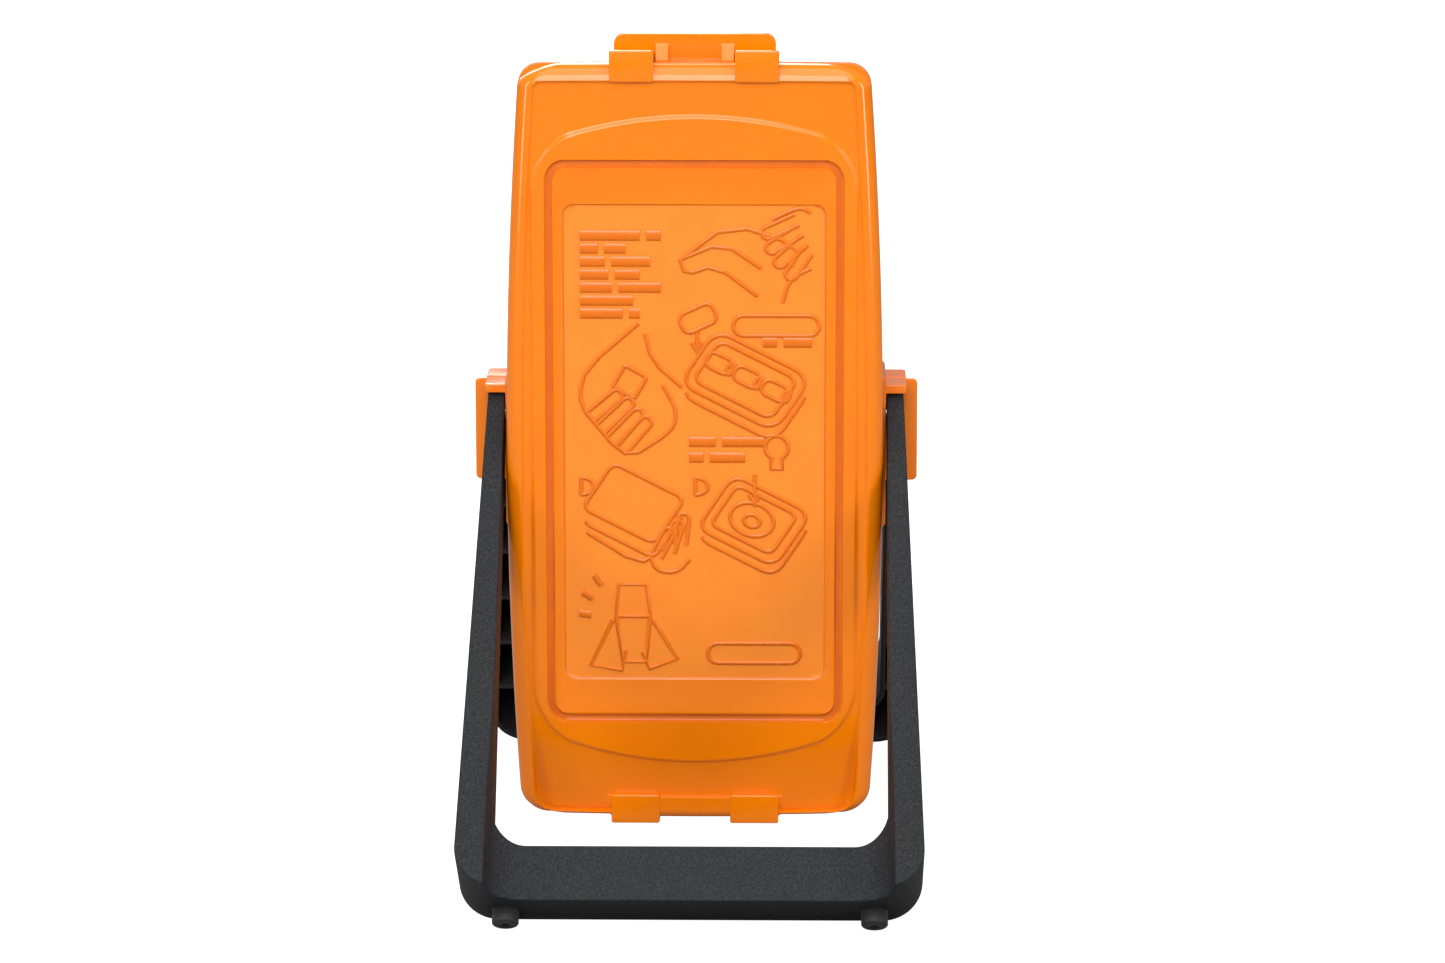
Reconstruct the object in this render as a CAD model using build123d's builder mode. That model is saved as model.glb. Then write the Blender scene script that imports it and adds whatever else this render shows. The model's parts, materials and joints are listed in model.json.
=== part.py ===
from build123d import *
from math import cos, radians, sin
import os

# A folding battery flasher lamp: an upright case with the lens in front and a
# battery cover behind, hung between two U-shaped bows that open as an A-frame.
# Millimetres. +Z is up, the lens looks to -Y, and the origin is on the ground,
# midway between the four feet. "Rise" is a height above the line of the pivots.

os.makedirs("parts", exist_ok=True)

# ---------------------------------------------------------------- sizes
# Stand
open_angle = 36.6          # each bow from the upright, when the lamp stands
bow_length = 153.2         # pivot line to the end of the bow
bow_half_top = 59.9        # outer half width at the pivots
bow_half_foot = 65.2       # outer half width at the end
bow_half_inside = 55.15    # inner half width
bow_parting = 6.25         # pivot line to the open side of the channel
crossbar_height = 16.1
crossbar_thickness = 16.5
leg_thickness_foot = 28.8
leg_thickness_top = 12.0
bow_wall = 2.0
leg_wall = 1.5
bow_outer_corner = 11.5
bow_inner_corner = 9.5
crossbar_sweep = 11.0      # radius where the crossbar's face sweeps up to the leg
sweep_half = 45.5          # half width where that sweep starts
rib_pitch = 21.6
rib_from_end = 26.8        # end of the bow to the middle of its last rib
rib_thickness = 1.4
hub_solid = 22.0           # length of leg below the pivot that is left solid

# Feet
foot_radius = 3.75
foot_height = 4.5
foot_half_spacing = 51.2
foot_stem_radius = 1.9
foot_stem_clearance = 0.05
foot_dimple = 1.5
foot_dimple_radius = 1.3
foot_round = 0.9
foot_stem_end = 1.2

# Pivots and their brackets
pin_radius = 2.0
pin_length = 9.6
pin_end_gap = 0.2
pin_fit = 0.02
pin_end_wall = 0.9         # leg left outside the blind end of its bore
pivot_clearance = 0.05
web_thickness = 1.6
web_clearance = 0.25
bracket_seat = 52.3        # half width of the flat that the bracket sits on
bracket_face = 54.9
bracket_half_depth = 11.8
bracket_top = 12.9
bracket_bottom = -34.1
bracket_chamfer = 2.0
hub_clearance = 0.25
ledge_height = 2.5
ledge_end = 60.9
ledge_round = 1.4
web_end = 64.2
web_top = 8.6
web_bottom = -21.4
web_round = 1.5
boss_radius = 4.2
boss_depth = 3.6
seat_pad = 2.5            # how thick the case's wall is made behind a bracket
screw_radius = 1.2
screw_head_radius = 2.4
screw_head = 1.5
bracket_screw_rise = -27.5
bracket_screw_spacing = 12.0

# Case
case_half_width = 53.95
case_half_top = 49.7
case_half_bottom = 50.35
widest_rise = -12.0
case_top = 103.9
case_bottom = -115.2
top_crown = 0.3
bottom_crown = 0.8
top_corner = 6.5
bottom_corner = 7.75
case_depth = 28.4          # pivot plane to the back, and to the front
parting = 20.0             # plane where cover and housing meet
parting_gap = 0.7          # filled by the gasket
side_draft = 2.4           # how much smaller the front face is, on each side
top_draft = 11.2
bottom_draft = 4.0
wall = 2.2
front_round = 3.5
fit = 0.3                  # clearance between pieces that move past each other
snug = 0.1                 # clearance between pieces that are assembled

# Back cover
back_round = 5.0
rim_width = 4.4
gasket_inset = 0.6
gasket_width = 1.4
gasket_lift = 0.12
pad_half_width = 6.0
pad_lift = 0.15
pad_bottom = -80.0
pad_top = 70.0
field_depth = 0.9
plateau_half = 44.5
plateau_side_top = 81.3
plateau_side_bottom = -90.0
plateau_top = 89.5
plateau_bottom = -99.1
plateau_corner = 12.0
groove_half = 43.0
groove_top = 77.2
groove_bottom = -87.1
groove_width = 2.4
groove_depth = 1.2
groove_corner = 6.0
label_half = 37.5
label_top = 64.4
label_bottom = -74.5
label_corner = 3.4
label_depth = 1.2
cover_inside = 25.0

# Cover hooks and latch
hook_inner = 10.2
hook_outer = 24.2
hook_bottom = -117.4
hook_back = 23.0
hook_bar_radius = 1.3
hook_clearance = 0.12
hook_wall = 1.18
hook_depth = 15.0          # depth of the cover's hinge line
band_rise = -109.0
pad_proud = 0.5
tab_inner = 11.5
tab_outer = 24.0
tab_bottom = 99.3
tab_top = 108.3
tab_thickness = 2.1
tab_arm = 1.7
latch_half = 23.0
latch_top = 111.4
latch_thickness = 2.4
latch_back = 16.0
latch_corner = 3.0
gusset_inner = 7.5
gusset_outer = 11.2

# Lens and its hinge
lens_half = 46.0
lens_bottom = 3.0
lens_top = 88.0
lens_corner = 9.0
lens_flange = 1.9
lens_wall = 2.0
lens_rise = 10.0
lens_taper = 22.0
lens_dome_round = 5.5
lens_margin = 3.0
seal_thickness = 0.6
seal_width = 3.2
window_margin = 4.2        # lens edge to the window behind it
hinge_pin_radius = 1.0
hinge_pin_clearance = 0.05
hinge_knuckle = 2.2
hinge_rise = 90.9
hinge_depth = -31.4
knuckle_inner = 12.0
knuckle_outer = 20.0
ear_width = 3.6

# Lamp
lamp_rise = 45.5
reflector_radius = 28.0
reflector_focus = 15.1
reflector_wall = 1.2
reflector_vertex = -15.0
neck_radius = 6.2
socket_radius = 6.0
socket_bore = 4.85
socket_back_wall = 1.1
socket_flange_thickness = 1.3
socket_back = -8.5
socket_front = -21.0
socket_flange = 7.6
bulb_cap_radius = 4.75
bulb_cap_length = 9.5
bulb_radius = 5.5
bulb_length = 24.0

# Batteries and their tray
cell_radius = 17.1
cell_length = 61.5
cell_nub = 1.6
cell_nub_radius = 5.0
column_x = 18.5
cell_depth = 5.5
cells_bottom = -98.0
tray_floor = 1.4
tray_front = -13.4
tray_post_radius = 3.5
tray_post_x = 40.0
tray_post_top = -30.0
tray_post_bottom = -98.0
cradle_wall = 1.4
cradle_half = 36.8
cradle_height = 12.0
cradle_spread = 20.0
end_wall_height = 25.0
cradle_clearance = 0.35
contact_thickness = 0.5
contact_space = 3.0
cell_gap = 0.4

# Switch and flasher
button_rise = -11.0
button_size = 15.6
button_corner = 2.0
button_clearance = 0.2
button_proud = 2.6
button_flange = 1.6
button_flange_thickness = 1.2
button_travel = 2.5
stem_radius = 2.5
stem_clearance = 0.1
switch_size = 20.0
switch_front = -20.0
spring_radius = 3.9
spring_wire = 0.6
spring_turns = 3
board_thickness = 1.6
board_length = 50.0
board_width = 30.0
board_lift = 3.0
relay_size = (18.0, 12.0, 14.0)
relay_rise = 6.0
capacitor_radius = 5.0
capacitor_length = 16.0
capacitor_rise = -26.0
wire_radius = 0.7
wire_x = 4.0
wire_depth = -10.0
wire_hole = 1.1

# ---------------------------------------------------------------- worked out
tilt = radians(open_angle)
pin_depth = bow_parting + web_thickness / 2 + web_clearance
foot_offset = crossbar_thickness / 2 - bow_parting
# The lowest point of a tilted foot is on the rounding of its inner rim, and that is the ground.
rim_along = bow_length + foot_height - foot_round
rim_out = foot_offset - foot_radius + foot_round
pin_rise = rim_along * cos(tilt) - rim_out * sin(tilt) + foot_round
ledge_rise = bow_parting + hub_clearance
case_back = case_depth
case_front = -case_depth
window_half = lens_half - window_margin
window_bottom = lens_bottom + window_margin
window_top = lens_top - window_margin
cells_top = cells_bottom + 3 * cell_length
tray_back = tray_front + tray_floor
hook_rise = hook_bottom + hook_wall + hook_clearance + hook_bar_radius
cover_front = parting + parting_gap
hinge_ring = hook_bar_radius + hook_clearance + hook_wall
pin_tip = bow_half_top - pin_end_wall - pin_end_gap
lens_back = case_front - seal_thickness
lens_face = lens_back - lens_flange
flange_back = case_front + wall + snug
rim_depth = reflector_vertex - reflector_radius ** 2 / (4 * reflector_focus)


# ---------------------------------------------------------------- helpers
def depth(y):
    """Plane facing the front at depth y, with its origin on the pivot line."""
    return Plane((0, y, pin_rise), x_dir=(1, 0, 0), z_dir=(0, -1, 0))


def across(x):
    """Plane facing +X at x: its first axis is depth, its second is rise."""
    return Plane((x, 0, pin_rise), x_dir=(0, 1, 0), z_dir=(1, 0, 0))


def level(rise):
    """Plane facing up at a rise: its axes are X and depth."""
    return Plane((0, 0, pin_rise + rise), x_dir=(1, 0, 0), z_dir=(0, 0, 1))


def bow_plane(side):
    """Plane in a bow: X, distance down the leg, and out from the pivot line."""
    return Plane((0, side * pin_depth, pin_rise), x_dir=(side, 0, 0), z_dir=(0, side * cos(tilt), sin(tilt)))


def bow_side_plane(side):
    """Plane across a bow: its first axis points down the leg, its second outwards."""
    return Plane((0, side * pin_depth, pin_rise), x_dir=(0, side * sin(tilt), -cos(tilt)), z_dir=(side, 0, 0))


def save(builder, name):
    """Label a finished piece and write it."""
    builder.part.label = name
    export_step(builder.part, f"parts/{name}.step")


def span_rectangle(x_low, x_high, y_low, y_high, mode=Mode.ADD):
    """Rectangle between two corners, in the sketch being drawn."""
    with Locations(((x_low + x_high) / 2, (y_low + y_high) / 2)):
        return Rectangle(x_high - x_low, y_high - y_low, mode=mode)


def round_rectangle(half, low, high, corner, mode=Mode.ADD):
    """Upright rounded rectangle, centred across, in the sketch being drawn."""
    with Locations((0, (low + high) / 2)):
        return RectangleRounded(2 * half, high - low, corner, mode=mode)


def case_outline(y, inset=0.0):
    """Section of the case at depth y: bowed sides, crowned ends and round corners."""
    drafted = max(0.0, (parting - y) / (parting - case_front))
    side = side_draft * drafted + inset
    high = case_top - top_draft * drafted - inset
    low = case_bottom + bottom_draft * drafted + inset
    top_x = case_half_top - side
    low_x = case_half_bottom - side
    wide_x = case_half_width - side
    with BuildSketch() as outline:
        with BuildLine():
            ThreePointArc((top_x, high), (wide_x, widest_rise), (low_x, low))
            ThreePointArc((low_x, low), (0, low - bottom_crown), (-low_x, low))
            ThreePointArc((-low_x, low), (-wide_x, widest_rise), (-top_x, high))
            ThreePointArc((-top_x, high), (0, high + top_crown), (top_x, high))
        make_face()
        fillet(outline.vertices().sort_by(Axis.Y)[2:], top_corner - inset / 2)
        fillet(outline.vertices().sort_by(Axis.Y)[:2], bottom_corner - inset / 2)
    return outline.sketch


def case_body(back, front, inset=0.0):
    """The case's shape between two depths, drafted towards the front."""
    with BuildPart() as body:
        for y in (back, front):
            with BuildSketch(depth(y)):
                add(case_outline(y, inset))
        loft(ruled=True)
    return body.part


# ---------------------------------------------------------------- bows
def bow_sections(side):
    """Plane across both legs and the crossbar: X, and inwards from the pivot line."""
    return Plane(bow_plane(side).origin, x_dir=bow_plane(side).x_dir, z_dir=bow_plane(side).y_dir)


def leg_profile(inset):
    """Side view of a leg. With an inset it is the hollow's, which starts below the hub."""
    face_foot = leg_thickness_foot - bow_parting - inset
    face_top = leg_thickness_top - bow_parting - inset
    slope = (face_foot - face_top) / bow_length
    end = bow_length - inset
    # The heel's flat is level when the bow is open, and runs out to the leg's face.
    heel = (-bow_parting * cos(tilt), bow_parting * sin(tilt))
    run = (face_top + slope * heel[0] - heel[1]) / (cos(tilt) - slope * sin(tilt))
    corner = (heel[0] + run * sin(tilt), heel[1] + run * cos(tilt))
    with BuildSketch() as profile:
        with BuildLine():
            if inset:
                Polyline((hub_solid, -bow_parting), (hub_solid, face_top + slope * hub_solid),
                         (end, face_foot), (end, -bow_parting), close=True)
            else:
                ThreePointArc((0, -bow_parting), (-bow_parting, 0), heel)
                Polyline(heel, corner, (end, face_foot), (end, -bow_parting), (0, -bow_parting))
        make_face()
    return profile.sketch


def crossbar_relief(inset):
    """The space in front of the crossbar, which is thinner than the legs, with its swept ends."""
    face = crossbar_thickness - bow_parting - inset
    swept = face + crossbar_sweep
    far = max(leg_thickness_foot, swept + 1)
    sweep_end = sweep_half + crossbar_sweep
    with BuildSketch() as relief:
        with BuildLine():
            Polyline((sweep_end, -swept), (sweep_end, -far), (-sweep_end, -far), (-sweep_end, -swept))
            CenterArc((-sweep_half, -swept), crossbar_sweep, 90, 90)
            Line((-sweep_half, -face), (sweep_half, -face))
            CenterArc((sweep_half, -swept), crossbar_sweep, 0, 90)
        make_face()
    return relief.sketch


def bow_blank(side, inset_side=0.0, inset=0.0):
    """A bow without its hollow. The insets shrink it into the hollow's own shape."""
    end = bow_length - inset
    inner_end = bow_length - crossbar_height + inset
    inside = bow_half_inside + inset_side
    half_top = bow_half_top - inset_side
    half_foot = bow_half_foot - inset_side
    with BuildPart(mode=Mode.PRIVATE) as blank:
        with BuildSketch(bow_plane(side).offset(-bow_parting)):
            with BuildLine():
                Polyline((-half_top, -bow_parting), (-half_foot, end), (half_foot, end), (half_top, -bow_parting),
                         (inside, -bow_parting), (inside, inner_end), (-inside, inner_end),
                         (-inside, -bow_parting), close=True)
            make_face()
            fillet(vertices().group_by(Axis.Y)[-1], bow_outer_corner - inset_side)
            fillet(vertices().group_by(Axis.Y)[1], bow_inner_corner + inset_side)
        extrude(amount=leg_thickness_foot)
        with BuildSketch(bow_side_plane(side)):
            add(leg_profile(inset))
        extrude(amount=bow_half_foot, both=True, mode=Mode.INTERSECT)
        with BuildSketch(bow_sections(side)):
            add(crossbar_relief(inset))
        extrude(amount=bow_length + crossbar_height, mode=Mode.SUBTRACT)
    return blank.part


def rib_plates(side):
    """The cross ribs of a bow, as plates right across it."""
    with BuildPart(mode=Mode.PRIVATE) as plates:
        with BuildSketch(bow_side_plane(side)):
            last = bow_length - rib_from_end - rib_thickness / 2
            for rib in range(int((last - hub_solid) / rib_pitch) + 1):
                place = last - rib_pitch * rib
                span_rectangle(place, place + rib_thickness, -leg_thickness_foot, leg_thickness_foot)
        extrude(amount=bow_half_foot, both=True)
    return plates.part


def make_bow(side, name):
    """One bow: a U-shaped channel, open on the side that faces the other bow."""
    hollow = bow_blank(side, leg_wall, bow_wall) - rib_plates(side)
    with BuildPart() as bow:
        add(bow_blank(side))
        add(hollow, mode=Mode.SUBTRACT)
        for end in (-1, 1):
            with BuildSketch(bow_side_plane(side)):
                Circle(pin_radius + pivot_clearance)
            extrude(amount=end * (bow_half_top - pin_end_wall), mode=Mode.SUBTRACT)
        with BuildSketch(bow_sections(side).offset(bow_length - crossbar_height / 2)):
            with GridLocations(2 * foot_half_spacing, 1, 2, 1):
                with Locations((0, -foot_offset)):
                    Circle(foot_stem_radius + foot_stem_clearance)
        extrude(amount=crossbar_height, mode=Mode.SUBTRACT)
    save(bow, name)


def make_foot(side, end, name):
    """A rubber foot with a dimple in its sole and a stem through the bow's wall."""
    centre = (side * end * foot_half_spacing, -foot_offset)
    sole = bow_length + foot_height
    with BuildPart() as foot:
        with BuildSketch(bow_sections(side).offset(bow_length)):
            with Locations(centre):
                Circle(foot_radius)
        extrude(amount=foot_height)
        fillet(edges().sort_by(Axis.Z)[0], foot_round)
        with BuildSketch(bow_sections(side).offset(sole)):
            with Locations(centre):
                Circle(foot_dimple_radius)
        extrude(amount=-foot_dimple, mode=Mode.SUBTRACT)
        with BuildSketch(bow_sections(side).offset(bow_length)):
            with Locations(centre):
                Circle(foot_stem_radius)
        extrude(amount=-bow_wall - foot_stem_end)
    save(foot, name)


make_bow(1, "rear_bow")
make_bow(-1, "front_bow")
for side, bow_name in ((1, "rear"), (-1, "front")):
    for end, end_name in ((1, "right"), (-1, "left")):
        make_foot(side, end, f"{bow_name}_foot_{end_name}")


# ---------------------------------------------------------------- pivot brackets
def make_bracket(side, name):
    """Bracket on one side of the case: plate, two stop ledges, web and pin bosses."""
    with BuildPart() as bracket:
        with BuildSketch(across(side * bracket_seat)):
            span_rectangle(-bracket_half_depth, bracket_half_depth, bracket_bottom, bracket_top)
        extrude(amount=side * (bracket_face - bracket_seat))
        outer = bracket.faces().sort_by(Axis.X)[-1 if side > 0 else 0]
        chamfer(outer.edges().filter_by(Axis.Y), bracket_chamfer)
        with BuildSketch(level(ledge_rise)):
            for end in (-1, 1):
                near, far = sorted((side * (bracket_seat + snug), side * ledge_end))
                low, high = sorted((0.0, end * bracket_half_depth))
                span_rectangle(near, far, low, high)
        extrude(amount=ledge_height)
        tips = bracket.edges().filter_by(Axis.Z).sort_by(Axis.X)
        fillet(tips[-2:] if side > 0 else tips[:2], ledge_round)
        with BuildSketch(depth(web_thickness / 2)) as web:
            near, far = sorted((side * bracket_seat, side * web_end))
            span_rectangle(near, far, web_bottom, web_top)
            corners = web.vertices().sort_by(Axis.X)
            fillet(corners[-2:] if side > 0 else corners[:2], web_round)
        extrude(amount=web_thickness)
        # The groove over the web keeps the two ledges apart.
        with BuildSketch(depth(web_thickness / 2)):
            near, far = sorted((side * bracket_face, side * (web_end + 1)))
            span_rectangle(near, far, web_top, web_top + ledge_height)
        extrude(amount=web_thickness, mode=Mode.SUBTRACT)
        with BuildSketch(across(side * bracket_seat)):
            with Locations((-pin_depth, 0), (pin_depth, 0)):
                Circle(boss_radius)
        extrude(amount=-side * boss_depth)
        with BuildSketch(across(side * (bracket_seat - boss_depth))):
            with Locations((-pin_depth, 0), (pin_depth, 0)):
                Circle(pin_radius + pin_fit)
        extrude(amount=side * (boss_depth + web_end - bracket_seat), mode=Mode.SUBTRACT)
        with BuildSketch(across(side * bracket_seat)):
            with Locations((-bracket_screw_spacing / 2, bracket_screw_rise),
                           (bracket_screw_spacing / 2, bracket_screw_rise)):
                Circle(screw_radius + pin_fit)
        extrude(amount=side * (bracket_face - bracket_seat - 2 * snug), mode=Mode.SUBTRACT)
    save(bracket, name)


def make_pin(side, end, name):
    """A steel dowel in the bracket, which one leg of a bow turns on."""
    with BuildPart() as pin:
        with BuildSketch(across(end * pin_tip)):
            with Locations((side * pin_depth, 0)):
                Circle(pin_radius)
        extrude(amount=-end * pin_length)
    save(pin, name)


for end, end_name in ((1, "right"), (-1, "left")):
    make_bracket(end, f"pivot_bracket_{end_name}")
    make_pin(1, end, f"rear_pivot_pin_{end_name}")
    make_pin(-1, end, f"front_pivot_pin_{end_name}")

with BuildPart() as bracket_screws:
    screw_places = [(end * bracket_screw_spacing / 2, bracket_screw_rise) for end in (-1, 1)]
    for side in (-1, 1):
        with BuildSketch(across(side * (bracket_seat - seat_pad))):
            with Locations(*screw_places):
                Circle(screw_head_radius)
        extrude(amount=-side * screw_head)
        with BuildSketch(across(side * (bracket_seat - seat_pad))):
            with Locations(*screw_places):
                Circle(screw_radius)
        extrude(amount=side * (seat_pad + bracket_face - bracket_seat - 3 * snug))
save(bracket_screws, "bracket_screws")


# ---------------------------------------------------------------- front housing
def hinge_ears(low, high):
    """One ear of the lens hinge, from the case's face out round the hinge pin."""
    with BuildPart() as ear:
        with BuildSketch(across(low)):
            with Locations((hinge_depth, hinge_rise)):
                Circle(hinge_knuckle)
            span_rectangle(hinge_depth, case_front + wall, hinge_rise - hinge_knuckle, hinge_rise + hinge_knuckle)
            with Locations((hinge_depth, hinge_rise)):
                Circle(hinge_pin_radius + pin_fit, mode=Mode.SUBTRACT)
        extrude(amount=high - low)
    return ear.part


with BuildPart() as front_housing:
    add(case_body(parting, case_front))
    fillet(front_housing.faces().sort_by(Axis.Y)[0].edges(), front_round)
    add(case_body(parting, case_front + wall, wall), mode=Mode.SUBTRACT)
    # The wall is thickened behind each bracket, and cut flat and drilled for it.
    for side in (-1, 1):
        with BuildSketch(across(side * (bracket_seat - seat_pad))):
            span_rectangle(-bracket_half_depth, bracket_half_depth, bracket_bottom - wall, bracket_top + wall)
        extrude(amount=side * seat_pad)
        with BuildSketch(across(side * bracket_seat)):
            span_rectangle(-bracket_half_depth - snug, bracket_half_depth + snug,
                           bracket_bottom - snug, bracket_top + snug)
        extrude(amount=side * wall * 2, mode=Mode.SUBTRACT)
        with BuildSketch(across(side * bracket_seat)):
            with Locations((-pin_depth, 0), (pin_depth, 0)):
                Circle(boss_radius + snug)
            with Locations(*screw_places):
                Circle(screw_radius + snug)
        extrude(amount=-side * wall * 2, mode=Mode.SUBTRACT)
    # Window behind the lens, and the hole for the push button.
    with BuildSketch(depth(case_front)):
        round_rectangle(window_half, window_bottom, window_top, lens_corner - window_margin / 2)
        with Locations((column_x, button_rise)):
            RectangleRounded(button_size + 2 * button_clearance, button_size + 2 * button_clearance, button_corner)
    extrude(amount=-wall - snug, mode=Mode.SUBTRACT)
    # Posts that carry the battery tray.
    with BuildSketch(depth(tray_front - snug)):
        for rise in (tray_post_bottom, tray_post_top):
            with Locations((-tray_post_x, rise), (tray_post_x, rise)):
                Circle(tray_post_radius)
                Circle(screw_radius + pin_fit, mode=Mode.SUBTRACT)
    extrude(amount=tray_front - case_front - wall)
    # Ears of the lens hinge.
    for side in (-1, 1):
        for inner in (knuckle_inner - fit - ear_width, knuckle_outer + fit):
            add(hinge_ears(*sorted((side * inner, side * (inner + ear_width)))))
    # Latch plate on top, with its gussets.
    with BuildSketch(depth(latch_back)) as latch:
        span_rectangle(-latch_half, latch_half, case_top - wall, latch_top)
        fillet(latch.vertices().group_by(Axis.Y)[-1], latch_corner)
    extrude(amount=latch_thickness)
    for side in (-1, 1):
        near, far = sorted((side * gusset_inner, side * gusset_outer))
        with BuildSketch(across(near)):
            with BuildLine():
                Polyline((latch_back, case_top - wall), (parting, case_top - wall), (parting, case_top),
                         (latch_back, latch_top - latch_corner), close=True)
            make_face()
        extrude(amount=far - near)
    # Notches and bars for the hooks of the back cover.
    for side in (-1, 1):
        near, far = sorted((side * (hook_inner - 2 * fit), side * (hook_outer + 2 * fit)))
        with BuildSketch(depth(parting)):
            span_rectangle(near, far, hook_bottom - wall, hook_rise + hinge_ring + 2 * fit)
        extrude(amount=parting - hook_depth + hinge_ring + 3 * fit, mode=Mode.SUBTRACT)
        with BuildSketch(across(near - fit)):
            with Locations((hook_depth, hook_rise)):
                Circle(hook_bar_radius)
        extrude(amount=far - near + 2 * fit)
save(front_housing, "front_housing")


# ---------------------------------------------------------------- back cover
with BuildPart() as rear_cover:
    with BuildSketch(depth(case_back)):
        add(case_outline(parting))
    extrude(amount=case_back - cover_front)
    fillet(rear_cover.faces().sort_by(Axis.Y)[-1].edges(), back_round)
    # The field inside the rim is sunk round a raised, barrel-shaped plateau.
    with BuildSketch() as plateau:
        with BuildLine():
            Line((plateau_half, plateau_side_top), (plateau_half, plateau_side_bottom))
            ThreePointArc((plateau_half, plateau_side_bottom), (0, plateau_bottom),
                          (-plateau_half, plateau_side_bottom))
            Line((-plateau_half, plateau_side_bottom), (-plateau_half, plateau_side_top))
            ThreePointArc((-plateau_half, plateau_side_top), (0, plateau_top), (plateau_half, plateau_side_top))
        make_face()
        fillet(plateau.vertices(), plateau_corner)
    with BuildSketch(depth(case_back)):
        add(case_outline(parting, rim_width))
        add(plateau.sketch, mode=Mode.SUBTRACT)
    extrude(amount=field_depth, mode=Mode.SUBTRACT)
    # A groove follows the label panel, which is sunk with sloping edges.
    with BuildSketch(depth(case_back)):
        round_rectangle(groove_half, groove_bottom, groove_top, groove_corner)
        round_rectangle(groove_half - groove_width, groove_bottom + groove_width, groove_top - groove_width,
                        groove_corner - groove_width, mode=Mode.SUBTRACT)
    extrude(amount=groove_depth, mode=Mode.SUBTRACT)
    with BuildSketch(depth(case_back)):
        round_rectangle(groove_half - groove_width - snug, groove_bottom + groove_width + snug,
                        groove_top - groove_width - snug, groove_corner - groove_width)
    with BuildSketch(depth(case_back - label_depth)):
        round_rectangle(label_half, label_bottom, label_top, label_corner)
    loft(mode=Mode.SUBTRACT)
    with BuildSketch(depth(cover_inside)):
        add(case_outline(parting, wall))
    extrude(amount=cover_inside - cover_front, mode=Mode.SUBTRACT)
    # A band along the bottom joins the two hooks.
    with BuildSketch(depth(case_back + pad_proud)):
        span_rectangle(-hook_outer, hook_outer, case_bottom + wall, band_rise)
    extrude(amount=wall)
    for side in (-1, 1):
        near, far = sorted((side * hook_inner, side * hook_outer))
        with BuildSketch(across(near)):
            span_rectangle(hook_back, case_back + pad_proud, hook_bottom, band_rise)
            span_rectangle(hook_depth, hook_back, hook_bottom, hook_bottom + hook_wall)
            with Locations((hook_depth, hook_rise)):
                Circle(hinge_ring)
                Circle(hook_bar_radius + hook_clearance, mode=Mode.SUBTRACT)
            span_rectangle(hook_depth - 2 * hinge_ring, hook_depth + fit, hook_rise + fit,
                           hook_rise + 2 * hinge_ring, mode=Mode.SUBTRACT)
        extrude(amount=far - near)
    # Snap tabs over the top, which reach forward to the latch plate.
    for side in (-1, 1):
        near, far = sorted((side * tab_inner, side * tab_outer))
        with BuildSketch(across(near)):
            span_rectangle(case_back + pad_proud - tab_thickness, case_back + pad_proud, tab_bottom, tab_top)
            span_rectangle(latch_back + fit, case_back, case_top + top_crown + fit,
                           case_top + top_crown + fit + tab_arm)
        extrude(amount=far - near)
save(rear_cover, "rear_cover")

with BuildPart() as cover_gasket:
    with BuildSketch(depth(cover_front)):
        add(case_outline(parting, gasket_inset))
        add(case_outline(parting, gasket_inset + gasket_width), mode=Mode.SUBTRACT)
    extrude(amount=parting_gap - gasket_lift)
    # The gasket stops short of the hooks.
    with BuildSketch(depth(cover_front)):
        for side in (-1, 1):
            near, far = sorted((side * (hook_inner - fit), side * (hook_outer + fit)))
            span_rectangle(near, far, hook_bottom, band_rise)
    extrude(amount=parting_gap, mode=Mode.SUBTRACT)
save(cover_gasket, "cover_gasket")

with BuildPart() as cell_pads:
    with BuildSketch(depth(cover_inside)):
        for side in (-1, 1):
            span_rectangle(side * column_x - pad_half_width, side * column_x + pad_half_width, pad_bottom, pad_top)
    extrude(amount=cover_inside - cell_depth - cell_radius - pad_lift)
save(cell_pads, "cell_pads")


# ---------------------------------------------------------------- lens
with BuildPart() as lens:
    with BuildSketch(depth(lens_back)):
        round_rectangle(lens_half, lens_bottom, lens_top, lens_corner)
    extrude(amount=lens_flange)
    with BuildSketch(depth(lens_face)):
        round_rectangle(lens_half - lens_margin, lens_bottom + lens_margin, lens_top - lens_margin,
                        lens_corner - lens_margin / 2)
    extrude(amount=lens_rise, taper=lens_taper)
    fillet(lens.faces().sort_by(Axis.Y)[0].edges(), lens_dome_round)
    inset = lens_margin + lens_wall
    with BuildSketch(depth(lens_back)):
        round_rectangle(lens_half - inset, lens_bottom + inset, lens_top - inset, lens_corner - lens_margin)
    extrude(amount=lens_flange + lens_rise - lens_wall, taper=lens_taper * (1 - lens_wall / lens_rise),
            mode=Mode.SUBTRACT)
    for side in (-1, 1):
        near, far = sorted((side * knuckle_inner, side * knuckle_outer))
        with BuildSketch(across(near)):
            with Locations((hinge_depth, hinge_rise)):
                Circle(hinge_knuckle)
            span_rectangle(lens_face - hinge_pin_radius, lens_back - snug, lens_top - lens_flange / 2, hinge_rise)
            with Locations((hinge_depth, hinge_rise)):
                Circle(hinge_pin_radius + hinge_pin_clearance, mode=Mode.SUBTRACT)
        extrude(amount=far - near)
save(lens, "lens")

with BuildPart() as lens_seal:
    with BuildSketch(depth(case_front - pin_fit)):
        round_rectangle(lens_half - snug, lens_bottom + snug, lens_top - snug, lens_corner - snug)
        round_rectangle(lens_half - seal_width, lens_bottom + seal_width, lens_top - seal_width,
                        lens_corner - seal_width, mode=Mode.SUBTRACT)
    extrude(amount=seal_thickness - pin_fit)
save(lens_seal, "lens_seal")

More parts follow.
